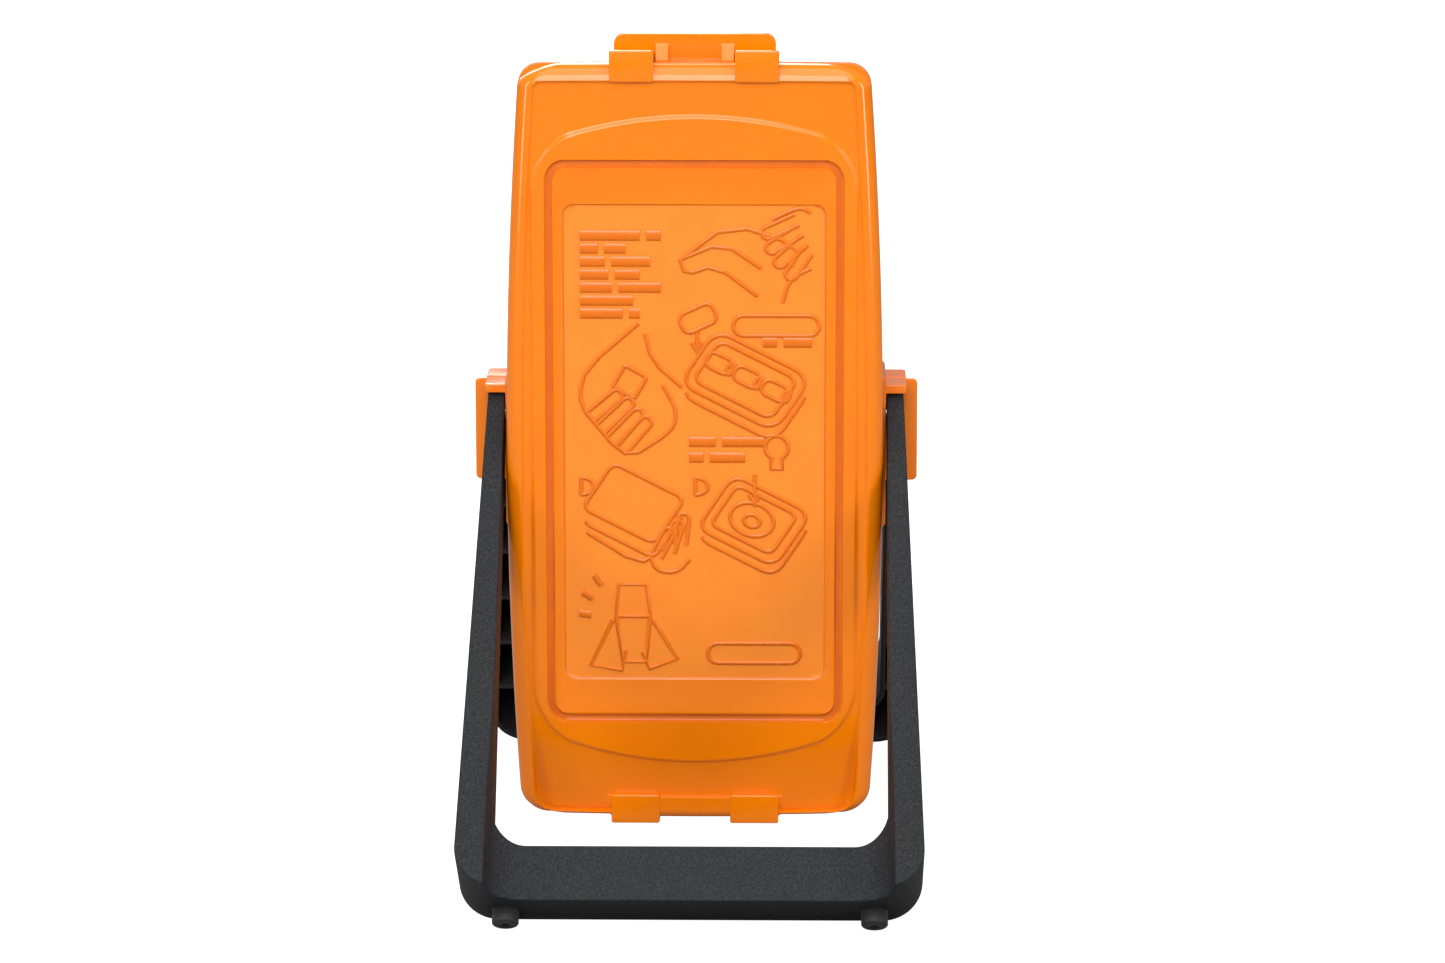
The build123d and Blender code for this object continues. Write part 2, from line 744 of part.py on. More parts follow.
with BuildPart() as lens_hinge_pins:
    for side in (-1, 1):
        near, far = sorted((side * (knuckle_inner - fit - ear_width), side * (knuckle_outer + fit + ear_width)))
        with BuildSketch(across(near)):
            with Locations((hinge_depth, hinge_rise)):
                Circle(hinge_pin_radius)
        extrude(amount=far - near)
save(lens_hinge_pins, "lens_hinge_pins")


# ---------------------------------------------------------------- lamp
def lamp_axis(y):
    """Plane through the lamp's own axis at depth y, facing the front."""
    return Plane((0, y, pin_rise + lamp_rise), x_dir=(1, 0, 0), z_dir=(0, -1, 0))


def bowl(offset):
    """The space inside the reflector's parabola, or with an offset its outside."""
    front = rim_depth - reflector_wall
    radii = [reflector_radius * step / 6 for step in range(7)]
    curve = [(r, reflector_vertex + offset - r ** 2 / (4 * reflector_focus)) for r in radii]
    with BuildPart() as solid:
        with BuildSketch(level(lamp_rise)):
            with BuildLine():
                Spline(*curve)
                Polyline(curve[-1], (reflector_radius, front), (0, front), curve[0])
            make_face()
        revolve(axis=Axis((0, 0, pin_rise + lamp_rise), (0, 1, 0)))
    return solid.part


with BuildPart() as reflector:
    add(bowl(reflector_wall))
    with BuildSketch(depth(flange_back + reflector_wall)):
        round_rectangle(window_half + wall, window_bottom - wall, window_top + wall, lens_corner)
    extrude(amount=reflector_wall)
    add(bowl(0), mode=Mode.SUBTRACT)
    with BuildSketch(lamp_axis(rim_depth)):
        Circle(2 * reflector_radius)
    extrude(amount=2 * reflector_wall, mode=Mode.SUBTRACT)
    with BuildSketch(lamp_axis(0)):
        Circle(neck_radius)
    extrude(amount=-rim_depth, mode=Mode.SUBTRACT)
save(reflector, "reflector")

with BuildPart() as bulb_socket:
    with BuildSketch(lamp_axis(socket_back)):
        Circle(socket_radius)
    extrude(amount=socket_back - socket_front)
    with BuildSketch(lamp_axis(reflector_vertex + reflector_wall + socket_flange_thickness + snug)):
        Circle(socket_flange)
    extrude(amount=socket_flange_thickness)
    with BuildSketch(lamp_axis(socket_front)):
        Circle(socket_bore)
    extrude(amount=socket_front - socket_back + socket_back_wall, mode=Mode.SUBTRACT)
save(bulb_socket, "bulb_socket")

bulb_base = socket_back - socket_back_wall - snug
bulb_neck = bulb_base - bulb_cap_length
with BuildPart() as bulb_cap:
    with BuildSketch(lamp_axis(bulb_base)):
        Circle(bulb_cap_radius)
    extrude(amount=bulb_cap_length)
    chamfer(bulb_cap.edges().sort_by(Axis.Y)[-1], bulb_cap_radius / 3)
save(bulb_cap, "bulb_cap")

with BuildPart() as bulb_glass:
    ball = bulb_base - bulb_length + bulb_radius
    with BuildSketch(lamp_axis(bulb_neck)):
        Circle(bulb_cap_radius - snug)
    extrude(amount=bulb_neck - ball)
    with Locations((0, ball, pin_rise + lamp_rise)):
        Sphere(bulb_radius)
save(bulb_glass, "bulb_glass")


# ---------------------------------------------------------------- batteries
def cell_place(column, slot):
    """Plane at the foot of a cell. Column is -1 or 1, and slots count upwards."""
    return Plane((column * column_x, cell_depth, pin_rise + cells_bottom + slot * cell_length))


cell_slots = [(-1, 0), (-1, 1), (-1, 2), (1, 0), (1, 2)]
for number, (column, slot) in enumerate(cell_slots, start=1):
    with BuildPart() as cell:
        with BuildSketch(cell_place(column, slot).offset(pin_fit)):
            Circle(cell_radius)
        extrude(amount=cell_length - cell_nub)
        fillet(cell.edges(), cell_gap)
        with BuildSketch(cell_place(column, slot).offset(cell_length - cell_nub)):
            Circle(cell_nub_radius)
        extrude(amount=cell_nub)
    save(cell, f"battery_cell_{number}")

pocket_bottom = cells_bottom + cell_length + contact_space
pocket_top = cells_bottom + 2 * cell_length - contact_space
board_depth = tray_back + board_lift
with BuildPart() as battery_tray:
    add(case_body(tray_back, tray_front, wall + fit))
    with BuildSketch(depth(tray_back)):
        for slot in range(3):
            for offset in (-cradle_spread, cradle_spread):
                rise = cells_bottom + (slot + 0.5) * cell_length + offset
                far = 0 if slot == 1 else cradle_half
                span_rectangle(-cradle_half, far, rise - cradle_wall / 2, rise + cradle_wall / 2)
        span_rectangle(-cradle_wall / 2, cradle_wall / 2, cells_bottom, cells_top)
    extrude(amount=-cradle_height)
    with BuildSketch(level(cells_bottom - contact_space)):
        with Locations((-column_x, cell_depth), (column_x, cell_depth)):
            Circle(cell_radius + cradle_clearance)
    extrude(amount=3 * cell_length + 2 * contact_space, mode=Mode.SUBTRACT)
    with BuildSketch(depth(tray_back)):
        low = cells_bottom - contact_space
        high = cells_top + contact_space
        span_rectangle(-cradle_half, cradle_half, low - cradle_wall, low)
        span_rectangle(-cradle_half, cradle_half, high, high + cradle_wall)
    extrude(amount=-end_wall_height)
    with BuildSketch(depth(tray_back)):
        span_rectangle(0, cradle_half, pocket_bottom, pocket_bottom + cradle_wall)
        span_rectangle(0, cradle_half, pocket_top - cradle_wall, pocket_top)
    extrude(amount=-end_wall_height)
    # Posts under the flasher's board.
    with BuildSketch(depth(board_depth)):
        with Locations((column_x, (pocket_bottom + pocket_top) / 2)):
            with GridLocations(board_width - 2 * board_lift, board_length - 2 * board_lift, 2, 2):
                Circle(board_lift / 2)
    extrude(amount=board_lift)
    # Room for the bulb holder, the two wires and the screws.
    with BuildSketch(lamp_axis(socket_back + snug)):
        Circle(socket_flange + fit)
    extrude(amount=socket_back + snug - tray_front + snug, mode=Mode.SUBTRACT)
    with BuildSketch(level(cells_bottom)):
        with Locations((-wire_x, wire_depth), (wire_x, wire_depth)):
            Circle(wire_hole)
    extrude(amount=3 * cell_length + contact_space, mode=Mode.SUBTRACT)
    with BuildSketch(depth(tray_back)):
        for rise in (tray_post_bottom, tray_post_top):
            with Locations((-tray_post_x, rise), (tray_post_x, rise)):
                Circle(screw_radius + snug)
    extrude(amount=tray_floor, mode=Mode.SUBTRACT)
save(battery_tray, "battery_tray")

with BuildPart() as tray_screws:
    for rise in (tray_post_bottom, tray_post_top):
        for side in (-1, 1):
            with BuildSketch(depth(tray_back + screw_head)):
                with Locations((side * tray_post_x, rise)):
                    Circle(screw_head_radius)
            extrude(amount=screw_head)
            with BuildSketch(depth(tray_back)):
                with Locations((side * tray_post_x, rise)):
                    Circle(screw_radius)
            extrude(amount=3 * tray_post_radius)
save(tray_screws, "tray_screws")


def contact_leaf(base, tip):
    """Bent strip across a column: it stands on the tray's wall and bears on the cell."""
    toward = 1 if tip > base else -1
    foot = cell_nub_radius * 2
    top = cell_nub_radius / 2
    with BuildSketch() as leaf:
        with BuildLine():
            Polyline((-foot, base), (-top, tip), (top, tip), (foot, base), (foot - contact_thickness, base),
                     (top, tip - toward * contact_thickness), (-top, tip - toward * contact_thickness),
                     (contact_thickness - foot, base), close=True)
        make_face()
    return leaf.sketch


def contact_strip(pairs, plates, name):
    """Contacts: one bent leaf for each (x, wall, tip), and flat plates between them."""
    with BuildPart() as contacts:
        for x, base, tip in pairs:
            with BuildSketch(depth(cell_depth + cell_nub_radius)):
                with Locations((x, 0)):
                    add(contact_leaf(base, tip))
            extrude(amount=2 * cell_nub_radius)
        for near, far, low in plates:
            with BuildSketch(depth(cell_depth + cell_nub_radius)):
                span_rectangle(near, far, low, low + contact_thickness)
            extrude(amount=2 * cell_nub_radius)
    save(contacts, name)


leaf_reach = 2 * cell_nub_radius
top_wall = cells_top + contact_space - pin_fit
low_wall = cells_bottom - contact_space + pin_fit
contact_strip(
    [(-column_x, top_wall - contact_thickness, cells_top + pin_fit),
     (column_x, top_wall - contact_thickness, cells_top + pin_fit)],
    [(-column_x - leaf_reach, column_x + leaf_reach, top_wall - contact_thickness)],
    "contact_bridge",
)
contact_strip(
    [(side * column_x, low_wall + contact_thickness, cells_bottom - pin_fit) for side in (-1, 1)],
    [(side * column_x - leaf_reach, side * column_x + leaf_reach, low_wall) for side in (-1, 1)],
    "lower_contacts",
)
contact_strip(
    [(column_x, pocket_top + pin_fit + contact_thickness, pocket_top + contact_space - pin_fit),
     (column_x, pocket_bottom - pin_fit - contact_thickness, pocket_bottom - contact_space + pin_fit)],
    [(column_x - leaf_reach, column_x + leaf_reach, pocket_top + pin_fit),
     (column_x - leaf_reach, column_x + leaf_reach, pocket_bottom - pin_fit - contact_thickness)],
    "pocket_contacts",
)


# ---------------------------------------------------------------- switch and flasher
button_back = case_front + wall + snug + button_flange_thickness
stem_end = switch_front + button_travel + stem_radius / 5
with BuildPart() as button:
    with BuildSketch(depth(button_back - button_flange_thickness)):
        with Locations((column_x, button_rise)):
            RectangleRounded(button_size, button_size, button_corner)
    extrude(amount=wall + snug + button_proud)
    fillet(button.faces().sort_by(Axis.Y)[0].edges(), button_corner / 2)
    with BuildSketch(depth(button_back)):
        with Locations((column_x, button_rise)):
            Rectangle(button_size + 2 * button_flange, button_size + 2 * button_flange)
    extrude(amount=button_flange_thickness)
    with BuildSketch(depth(stem_end)):
        with Locations((column_x, button_rise)):
            Circle(stem_radius)
    extrude(amount=stem_end - button_back)
save(button, "button")

with BuildPart() as switch_body:
    with BuildSketch(depth(tray_front - snug)):
        with Locations((column_x, button_rise)):
            Rectangle(switch_size, switch_size)
    extrude(amount=tray_front - snug - switch_front)
    with BuildSketch(depth(switch_front)):
        with Locations((column_x, button_rise)):
            Circle(stem_radius + stem_clearance)
    extrude(amount=switch_front - stem_end - button_travel - fit, mode=Mode.SUBTRACT)
save(switch_body, "switch_body")

with BuildPart() as button_spring:
    room = switch_front - button_back - spring_wire - 2 * snug
    start = Plane((column_x, button_back + spring_wire / 2 + snug, pin_rise + button_rise),
                  x_dir=(1, 0, 0), z_dir=(0, 1, 0))
    with BuildLine() as coil:
        Helix(room / spring_turns, room, spring_radius - spring_wire / 2, center=start.origin, direction=(0, 1, 0))
    with BuildSketch(Plane(origin=coil.line @ 0, z_dir=coil.line % 0)):
        Circle(spring_wire / 2)
    sweep()
save(button_spring, "button_spring")

pocket_rise = (pocket_bottom + pocket_top) / 2
board_face = board_depth + board_thickness
with BuildPart() as flasher_board:
    with BuildSketch(depth(board_face)):
        with Locations((column_x, pocket_rise)):
            Rectangle(board_width, board_length)
    extrude(amount=board_thickness)
save(flasher_board, "flasher_board")

with BuildPart() as flasher_relay:
    with BuildSketch(depth(board_face + relay_size[1])):
        with Locations((column_x, pocket_rise + relay_rise)):
            Rectangle(relay_size[0], relay_size[2])
    extrude(amount=relay_size[1])
    fillet(flasher_relay.edges().filter_by(Axis.Y), cell_gap)
save(flasher_relay, "flasher_relay")

with BuildPart() as flasher_capacitor:
    with BuildSketch(level(capacitor_rise)):
        with Locations((column_x, board_face + capacitor_radius)):
            Circle(capacitor_radius)
    extrude(amount=capacitor_length)
    fillet(flasher_capacitor.edges(), cell_gap)
save(flasher_capacitor, "flasher_capacitor")

for name, x, low, high in (
    ("wire_live", wire_x, pocket_rise + board_length / 2 + snug, lamp_rise - socket_flange),
    ("wire_return", -wire_x, lamp_rise + socket_flange, cells_top + contact_space - 2 * contact_thickness),
):
    with BuildPart() as wire:
        with BuildSketch(level(low)):
            with Locations((x, wire_depth)):
                Circle(wire_radius)
        extrude(amount=high - low)
    save(wire, name)
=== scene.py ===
import json
import math

import bmesh
import bpy
import numpy as np
from bpy.props import FloatProperty, FloatVectorProperty, PointerProperty
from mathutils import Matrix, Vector


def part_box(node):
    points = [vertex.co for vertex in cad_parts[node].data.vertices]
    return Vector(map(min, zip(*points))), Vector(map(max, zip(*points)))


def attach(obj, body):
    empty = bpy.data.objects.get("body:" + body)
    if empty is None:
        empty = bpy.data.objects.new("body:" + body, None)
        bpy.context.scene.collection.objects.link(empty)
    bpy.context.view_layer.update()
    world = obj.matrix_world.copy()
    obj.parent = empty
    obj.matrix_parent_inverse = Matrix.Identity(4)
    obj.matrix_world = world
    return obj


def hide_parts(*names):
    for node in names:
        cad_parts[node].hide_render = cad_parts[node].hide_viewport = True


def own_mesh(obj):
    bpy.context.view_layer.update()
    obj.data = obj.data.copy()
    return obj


bl_info = {
    "name": "Folding Flasher Lamp",
    "version": (1, 0),
    "blender": (4, 5, 0),
    "location": "View3D > Sidebar > Lamp",
    "description": "Finishes a folding battery flasher lamp: its moulded cover, bows, lens and inside",
    "category": "Object",
}

# Shapes are worked out in millimetres as (x, depth, rise): depth is positive
# towards the battery cover, and rise is counted from the line of the pivots.
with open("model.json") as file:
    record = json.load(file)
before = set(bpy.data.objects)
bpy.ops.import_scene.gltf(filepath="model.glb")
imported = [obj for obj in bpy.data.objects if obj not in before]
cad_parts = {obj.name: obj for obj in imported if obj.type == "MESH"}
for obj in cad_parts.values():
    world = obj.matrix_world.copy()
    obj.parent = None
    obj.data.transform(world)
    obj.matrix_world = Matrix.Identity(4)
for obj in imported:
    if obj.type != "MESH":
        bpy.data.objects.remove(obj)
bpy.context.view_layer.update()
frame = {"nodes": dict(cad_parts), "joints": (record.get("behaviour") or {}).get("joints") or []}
NODES = frame["nodes"]
JOINTS = {joint["name"]: joint for joint in frame["joints"]}
PIVOT = Vector(JOINTS["rear_bow_fold"]["pos_m"])
PIVOT_RISE = PIVOT.z * 1000


def span(node):
    """Lowest and highest corner of a node in millimetres, as (x, depth, rise)."""
    return [np.array(corner) * 1000 - (0, 0, PIVOT_RISE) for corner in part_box(node)]


def linear(hex_colour):
    """sRGB hex to linear light: each channel's share of 255, through the sRGB curve."""
    values = [int(hex_colour[place:place + 2], 16) / 255 for place in (1, 3, 5)]
    return tuple(v / 12.92 if v <= 0.04045 else ((v + 0.055) / 1.055) ** 2.4 for v in values)


def size(label, text, default, low=0.0):
    """A length in millimetres that a user may change."""
    return FloatProperty(name=label, description=text, default=float(default), min=low, precision=2)


def colour(label, text, default):
    """A colour that a user may change, given as sRGB hex."""
    return FloatVectorProperty(name=label, description=text, subtype="COLOR", size=3, min=0, max=1,
                               default=linear(default))


class CoverSizes(bpy.types.PropertyGroup):
    """Sizes of the battery cover, in millimetres."""
    half_width: size("Half width", "Half the width at the widest place", 53.95)
    half_top: size("Half width at the top", "Half the width where the top edge starts", 49.7)
    half_bottom: size("Half width at the bottom", "Half the width where the bottom edge starts", 50.35)
    widest: FloatProperty(name="Widest place", description="Rise of the widest place, mm", default=-12.0)
    top: size("Top", "Rise of the top edge", 103.9)
    bottom: FloatProperty(name="Bottom", description="Rise of the bottom edge, mm", default=-115.2)
    top_corner: size("Top corner", "Radius of the top corners", 6.5)
    bottom_corner: size("Bottom corner", "Radius of the bottom corners", 7.75)
    rim_round: size("Rim rounding", "Radius of the rim's outer edge", 5.0)
    rim_width: size("Rim width", "Width of the rim round the sunk field", 4.4)
    field_depth: size("Field depth", "How far the field lies below the rim", 0.75)
    groove_depth: size("Groove depth", "Depth of the groove round the panel", 1.2)
    label_depth: size("Panel depth", "How far the panel lies below the plateau", 1.2)
    wall: size("Wall", "Thickness of the cover's wall", 2.2)
    ridge_height: size("Ridge height", "How far the moulded drawings stand up", 0.45)
    ridge_width: size("Ridge width", "Width of a moulded line", 1.3)


class LensSizes(bpy.types.PropertyGroup):
    """Sizes of the lens, in millimetres."""
    wall: size("Wall", "Thickness of the lens", 2.0)
    margin: size("Flange", "Width of the flat flange", 3.0)
    prism_pitch: size("Prism pitch", "Spacing of the pillow prisms inside", 5.0)
    prism_height: size("Prism height", "Height of the pillow prisms", 0.55)


class Finishes(bpy.types.PropertyGroup):
    """Colours of the finishes, and the grain of the bows."""
    orange: colour("Orange ABS", "The case, cover and brackets", "#F07F02")
    orange_deep: colour("Deep orange", "Where the orange moulding is thick or shaded", "#E67402")
    panel: colour("Panel", "The brushed panel on the cover", "#EC7A04")
    panel_pale: colour("Pale panel", "Paler, polished places on the panel", "#F48A16")
    # Painted shade: this darker orange stands for the shade that falls in the groove and along the steps.
    step: colour("Groove", "Steps and groove, where dust settles", "#D0660E")
    grey: colour("Grey ABS", "The two bows", "#1E1F20")
    grey_speckle: colour("Grey speckle", "Lighter grains of the bows' texture", "#3A3B3E")
    rubber: colour("Rubber", "Feet and seals", "#1C1C1D")
    amber: colour("Amber", "The lens", "#FFAA33")
    jacket: colour("Cell jacket", "The printed sleeve of a cell", "#2A3350")
    tray: colour("Tray", "The battery tray", "#D8D6CC")
    board: colour("Board", "Solder mask of the circuit board", "#1F5B35")
    grain: size("Grain", "Size of a grain of the bows' texture", 0.58)


class StageSettings(bpy.types.PropertyGroup):
    """Camera, floor and lights."""
    lens_length: FloatProperty(name="Focal length", description="Focal length on a 36 mm sensor", default=134.14,
                               subtype="DISTANCE_CAMERA")
    sky: FloatProperty(name="Surround", description="Strength of the white surround", default=0.38, min=0)
    top_power: FloatProperty(name="Top light", description="Power of the large light above", default=10.5,
                             unit="POWER")
    side_power: FloatProperty(name="Side lights", description="Power of each light beside the lamp", default=5.0,
                              unit="POWER")
    fill_power: FloatProperty(name="Fill light", description="Power of the large light behind the camera",
                              default=26.0, unit="POWER")
    floor_size: FloatProperty(name="Floor", description="Width of the floor", default=60.0, unit="LENGTH")


# ---------------------------------------------------------------- shapes
WELD = 2e-6   # points closer than this many metres are one point


def skin(points, around=False, first=False, last=False):
    """Faces over a grid of points: one quad between each four neighbours. around closes every row to a ring, and
    first and last close the end rows with one flat face each."""
    rows, columns = points.shape[:2]
    number = np.arange(rows * columns).reshape(rows, columns)
    ring = np.hstack([number, number[:, :1]]) if around else number
    faces = np.stack([ring[:-1, :-1], ring[:-1, 1:], ring[1:, 1:], ring[1:, :-1]], axis=-1).reshape(-1, 4).tolist()
    if first:
        faces.append(number[0][::-1].tolist())
    if last:
        faces.append(number[-1].tolist())
    return points.reshape(-1, 3), faces


def piece(name, skins, body, material, sharp=40.0, edge=0.0):
    """One object from several skins: the points are joined, doubles merged, faces turned outwards, and edges
    sharper than an angle kept crisp. edge is the width of a bevel on them, in millimetres."""
    points, faces, start = [], [], 0
    for part_points, part_faces in skins:
        points.append(part_points)
        faces += [[start + corner for corner in face] for face in part_faces]
        start += len(part_points)
    mesh = bpy.data.meshes.new(name)
    places = (np.concatenate(points) + (0, 0, PIVOT_RISE)) / 1000
    mesh.from_pydata(places.tolist(), [], faces)
    work = bmesh.new()
    work.from_mesh(mesh)
    bmesh.ops.remove_doubles(work, verts=work.verts, dist=WELD)
    bmesh.ops.recalc_face_normals(work, faces=work.faces)
    work.to_mesh(mesh)
    work.free()
    mesh.shade_smooth()
    mesh.set_sharp_from_angle(angle=math.radians(sharp))
    mesh.materials.append(material)
    thing = bpy.data.objects.new(name, mesh)
    bpy.context.scene.collection.objects.link(thing)
    if edge:
        bevel = thing.modifiers.new("Edge", "BEVEL")
        bevel.width, bevel.segments, bevel.limit_method = edge / 1000, 2, "ANGLE"
        bevel.angle_limit = math.radians(sharp)
        bevel.harden_normals = True
    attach(thing, body)
    return thing


def soften(edge, *nodes):
    """Welds each CAD node's triangles, bevels its edges by edge millimetres, where that is above 0, and weights
    its normals by face area."""
    for node in nodes:
        thing = NODES[node]
        thing.modifiers.new("Weld", "WELD").merge_threshold = WELD
        if edge:
            bevel = thing.modifiers.new("Edge", "BEVEL")
            bevel.width, bevel.segments, bevel.limit_method = edge / 1000, 2, "ANGLE"
            bevel.angle_limit = math.radians(35.0)
            bevel.use_clamp_overlap = False
            bevel.loop_slide = False
            bevel.miter_outer = "MITER_ARC"
        thing.data.polygons.foreach_set("use_smooth", np.ones(len(thing.data.polygons), bool))
        weigh = thing.modifiers.new("Normals", "WEIGHTED_NORMAL")
        weigh.mode, weigh.weight, weigh.keep_sharp = "FACE_AREA_WITH_ANGLE", 50, True


def smooth(value, start, end):
    """Eased step: 0 before start and 1 after end, with 3t squared less 2t cubed between."""
    t = np.clip((value - start) / (end - start), 0, 1)
    return t * t * (3 - 2 * t)


def rounded(half_x, half_z, corner, across, up):
    """Signed distance to a rounded rectangle, negative inside: the distance to its corner-less core, less the
    corner's radius."""
    x = np.abs(across) - half_x + corner
    z = np.abs(up) - half_z + corner
    return np.hypot(np.maximum(x, 0), np.maximum(z, 0)) + np.minimum(np.maximum(x, z), 0) - corner


def rounded_ring(half_x, half_z, corner, inset=0.0, count=12):
    """Points round a rounded rectangle, count to each corner's quarter circle and each side."""
    corner = max(corner - inset, 0.05)
    x, z = half_x - inset - corner, half_z - inset - corner
    angles = (np.arange(4)[:, None] + np.linspace(0, 1, count)) * math.pi / 2
    middles = np.array([[x, z], [-x, z], [-x, -z], [x, -z]])
    arcs = middles[:, None, :] + corner * np.stack([np.cos(angles), np.sin(angles)], axis=-1)
    after = np.roll(arcs[:, :1], -1, axis=0)
    share = np.linspace(0, 1, count + 1)[1:-1, None]
    sides = arcs[:, -1:] + (after - arcs[:, -1:]) * share
    return np.concatenate([arcs, sides], axis=1).reshape(-1, 2)


def slab(centre, half_x, half_z, corner, low, high, edge=0.35, count=5):
    """Rounded plate in the X and rise plane, from depth low to high: rings of a rounded rectangle, inset over a
    quarter circle of radius edge at both faces."""
    turn = np.linspace(0, math.pi / 2, 4)
    inset = np.concatenate([edge * (1 - np.sin(turn)), edge * (1 - np.cos(turn))])
    depth = np.concatenate([low + edge * (1 - np.cos(turn)), high - edge * (1 - np.sin(turn))])
    rings = np.stack([rounded_ring(half_x, half_z, corner, step, count) for step in inset])
    level = np.broadcast_to(depth[:, None, None], rings.shape[:2] + (1,))
    grid = np.concatenate([rings[..., :1] + centre[0], level, rings[..., 1:] + centre[1]], axis=-1)
    return skin(grid, around=True, first=True, last=True)


def lathe(profile, centre, count):
    """Turned shape: each (radius, place) of the profile becomes a ring about the x axis."""
    profile = np.array(profile, float)
    turn = np.linspace(0, 2 * math.pi, count, endpoint=False)
    one, two = profile[:, :1] * np.cos(turn), profile[:, :1] * np.sin(turn)
    grid = np.stack((np.broadcast_to(profile[:, 1:], one.shape), one, two), axis=-1)
    return skin(grid + np.array(centre, float), around=True)


# ---------------------------------------------------------------- materials
def add(tree, kind, settings=None, links=None):
    """Adds a node. Lower-case settings are properties and the rest sockets, and links join outputs to sockets."""
    node = tree.nodes.new(kind)
    for key, value in (settings or {}).items():
        if isinstance(key, str) and key[0].islower():
            setattr(node, key, value)
        else:
            node.inputs[key].default_value = value
    for key, source in (links or {}).items():
        tree.links.new(source, node.inputs[key])
    return node


METRE = 1000.0   # feature size of noise whose place is already scaled


def per(size_mm):
    """Noise scale in metres for a feature of this size in millimetres."""
    return 1000.0 / size_mm


def noise(tree, place, feature, detail, roughness=0.5):
    """Noise whose features are about that many millimetres wide; returns its 0 to 1 output."""
    return add(tree, "ShaderNodeTexNoise", {"Scale": per(feature), "Detail": detail, "Roughness": roughness},
               {"Vector": place}).outputs["Fac"]


def relief(tree, height, strength, distance, under=None):
    """Bump of at most that many millimetres, over another bump where one is given; returns its normal."""
    links = {"Height": height} if under is None else {"Height": height, "Normal": under}
    return add(tree, "ShaderNodeBump", {"Strength": strength, "Distance": distance / 1000}, links).outputs["Normal"]


def blend_colours(tree, one, two, share):
    """Colour that goes from one to two as share goes from 0 to 1."""
    return add(tree, "ShaderNodeMixRGB", {"Color1": rgba(one), "Color2": rgba(two)},
               {"Fac": share}).outputs["Color"]


def stretched(tree, place, scale):
    """A place multiplied by scale, so that noise repeats that often in a metre of x, y and z."""
    return add(tree, "ShaderNodeMapping", {"Scale": scale}, {"Vector": place}).outputs["Vector"]


def finish(name, settings):
    """A new material with a Principled shader: (material, tree, shader)."""
    material = bpy.data.materials.new(name)
    material.use_nodes = True
    tree = material.node_tree
    shader = tree.nodes["Principled BSDF"]
    for key, value in settings.items():
        shader.inputs[key].default_value = value
    return material, tree, shader


def rgba(value):
    """A colour with full opacity."""
    return (*value, 1.0)


def plug(tree, shader, sources):
    """Links each output to the shader's socket of that name."""
    for socket, source in sources.items():
        tree.links.new(source, shader.inputs[socket])


def moulded(name, base, second, roughness, ripple, grain=0.0, brushed=False, colour_size=38.0, shine=0.45):
    """Injection-moulded plastic: two close tones that flow into each other, a slow ripple in the gloss, and where
    asked a fine grain or brushed lines across."""
    material, tree, shader = finish(name, {"IOR": 1.53, "Roughness": roughness, "Specular IOR Level": shine})
    place = add(tree, "ShaderNodeTexCoord").outputs["Object"]
    tone = blend_colours(tree, base, second, noise(tree, place, colour_size, 4.0, 0.6))
    gloss = add(tree, "ShaderNodeMapRange", {"To Min": roughness * 0.8, "To Max": roughness * 1.3},
                {"Value": noise(tree, place, 9.0, 5.0)})
    normal = relief(tree, noise(tree, place, ripple, 2.0), 0.25, 0.06)
    if grain:
        normal = relief(tree, noise(tree, place, grain, 3.0, 0.7), 0.5, 0.12, normal)
    if brushed:
        across = stretched(tree, place, (per(45.0), per(45.0), per(0.9)))
        normal = relief(tree, noise(tree, across, METRE, 3.0, 0.65), 0.35, 0.08, normal)
    plug(tree, shader, {"Base Color": tone, "Roughness": gloss.outputs["Result"], "Normal": normal})
    return material


def textured_grey(finishes):
    """ABS from a spark-eroded mould: a matt grey whose fine grain catches light as paler specks."""
    material, tree, shader = finish("spark_textured_grey_ABS", {"IOR": 1.53, "Roughness": 0.62,
                                                                "Specular IOR Level": 0.14})
    place = add(tree, "ShaderNodeTexCoord").outputs["Object"]
    # The real grain is near 0.3 mm; it is drawn a little coarser so that it shows.
    speck = noise(tree, place, finishes.grain, 4.0, 0.75)
    share = add(tree, "ShaderNodeMapRange", {"From Min": 0.42, "From Max": 0.72}, {"Value": speck})
    plug(tree, shader, {
        "Base Color": blend_colours(tree, finishes.grey, finishes.grey_speckle, share.outputs["Result"]),
        "Normal": relief(tree, speck, 0.55, 0.15)})
    return material


def rubber(name, base):
    """Moulded rubber: near black, soft sheen, with a faint bloom."""
    material, tree, shader = finish(name, {"IOR": 1.52, "Roughness": 0.55, "Sheen Weight": 0.05,
                                           "Specular IOR Level": 0.3})
    place = add(tree, "ShaderNodeTexCoord").outputs["Object"]
    bloom = noise(tree, place, 2.5, 5.0)
    paler = [channel * 1.9 + 0.004 for channel in base]
    plug(tree, shader, {"Base Color": blend_colours(tree, base, paler, bloom),
                        "Normal": relief(tree, bloom, 0.3, 0.08)})
    return material


def metal(name, base, roughness, stretch, groove):
    """Metal with tooling marks: noise stretched along one axis changes the roughness and lifts the surface."""
    material, tree, shader = finish(name, {"Base Color": rgba(base), "Metallic": 1.0, "Roughness": roughness})
    place = add(tree, "ShaderNodeTexCoord").outputs["Object"]
    mark = noise(tree, stretched(tree, place, [per(groove) * share for share in stretch]), METRE, 4.0)
    gloss = add(tree, "ShaderNodeMapRange", {"To Min": roughness * 0.7, "To Max": roughness * 1.4}, {"Value": mark})
    plug(tree, shader, {"Roughness": gloss.outputs["Result"], "Normal": relief(tree, mark, 0.15, 0.04)})
    return material


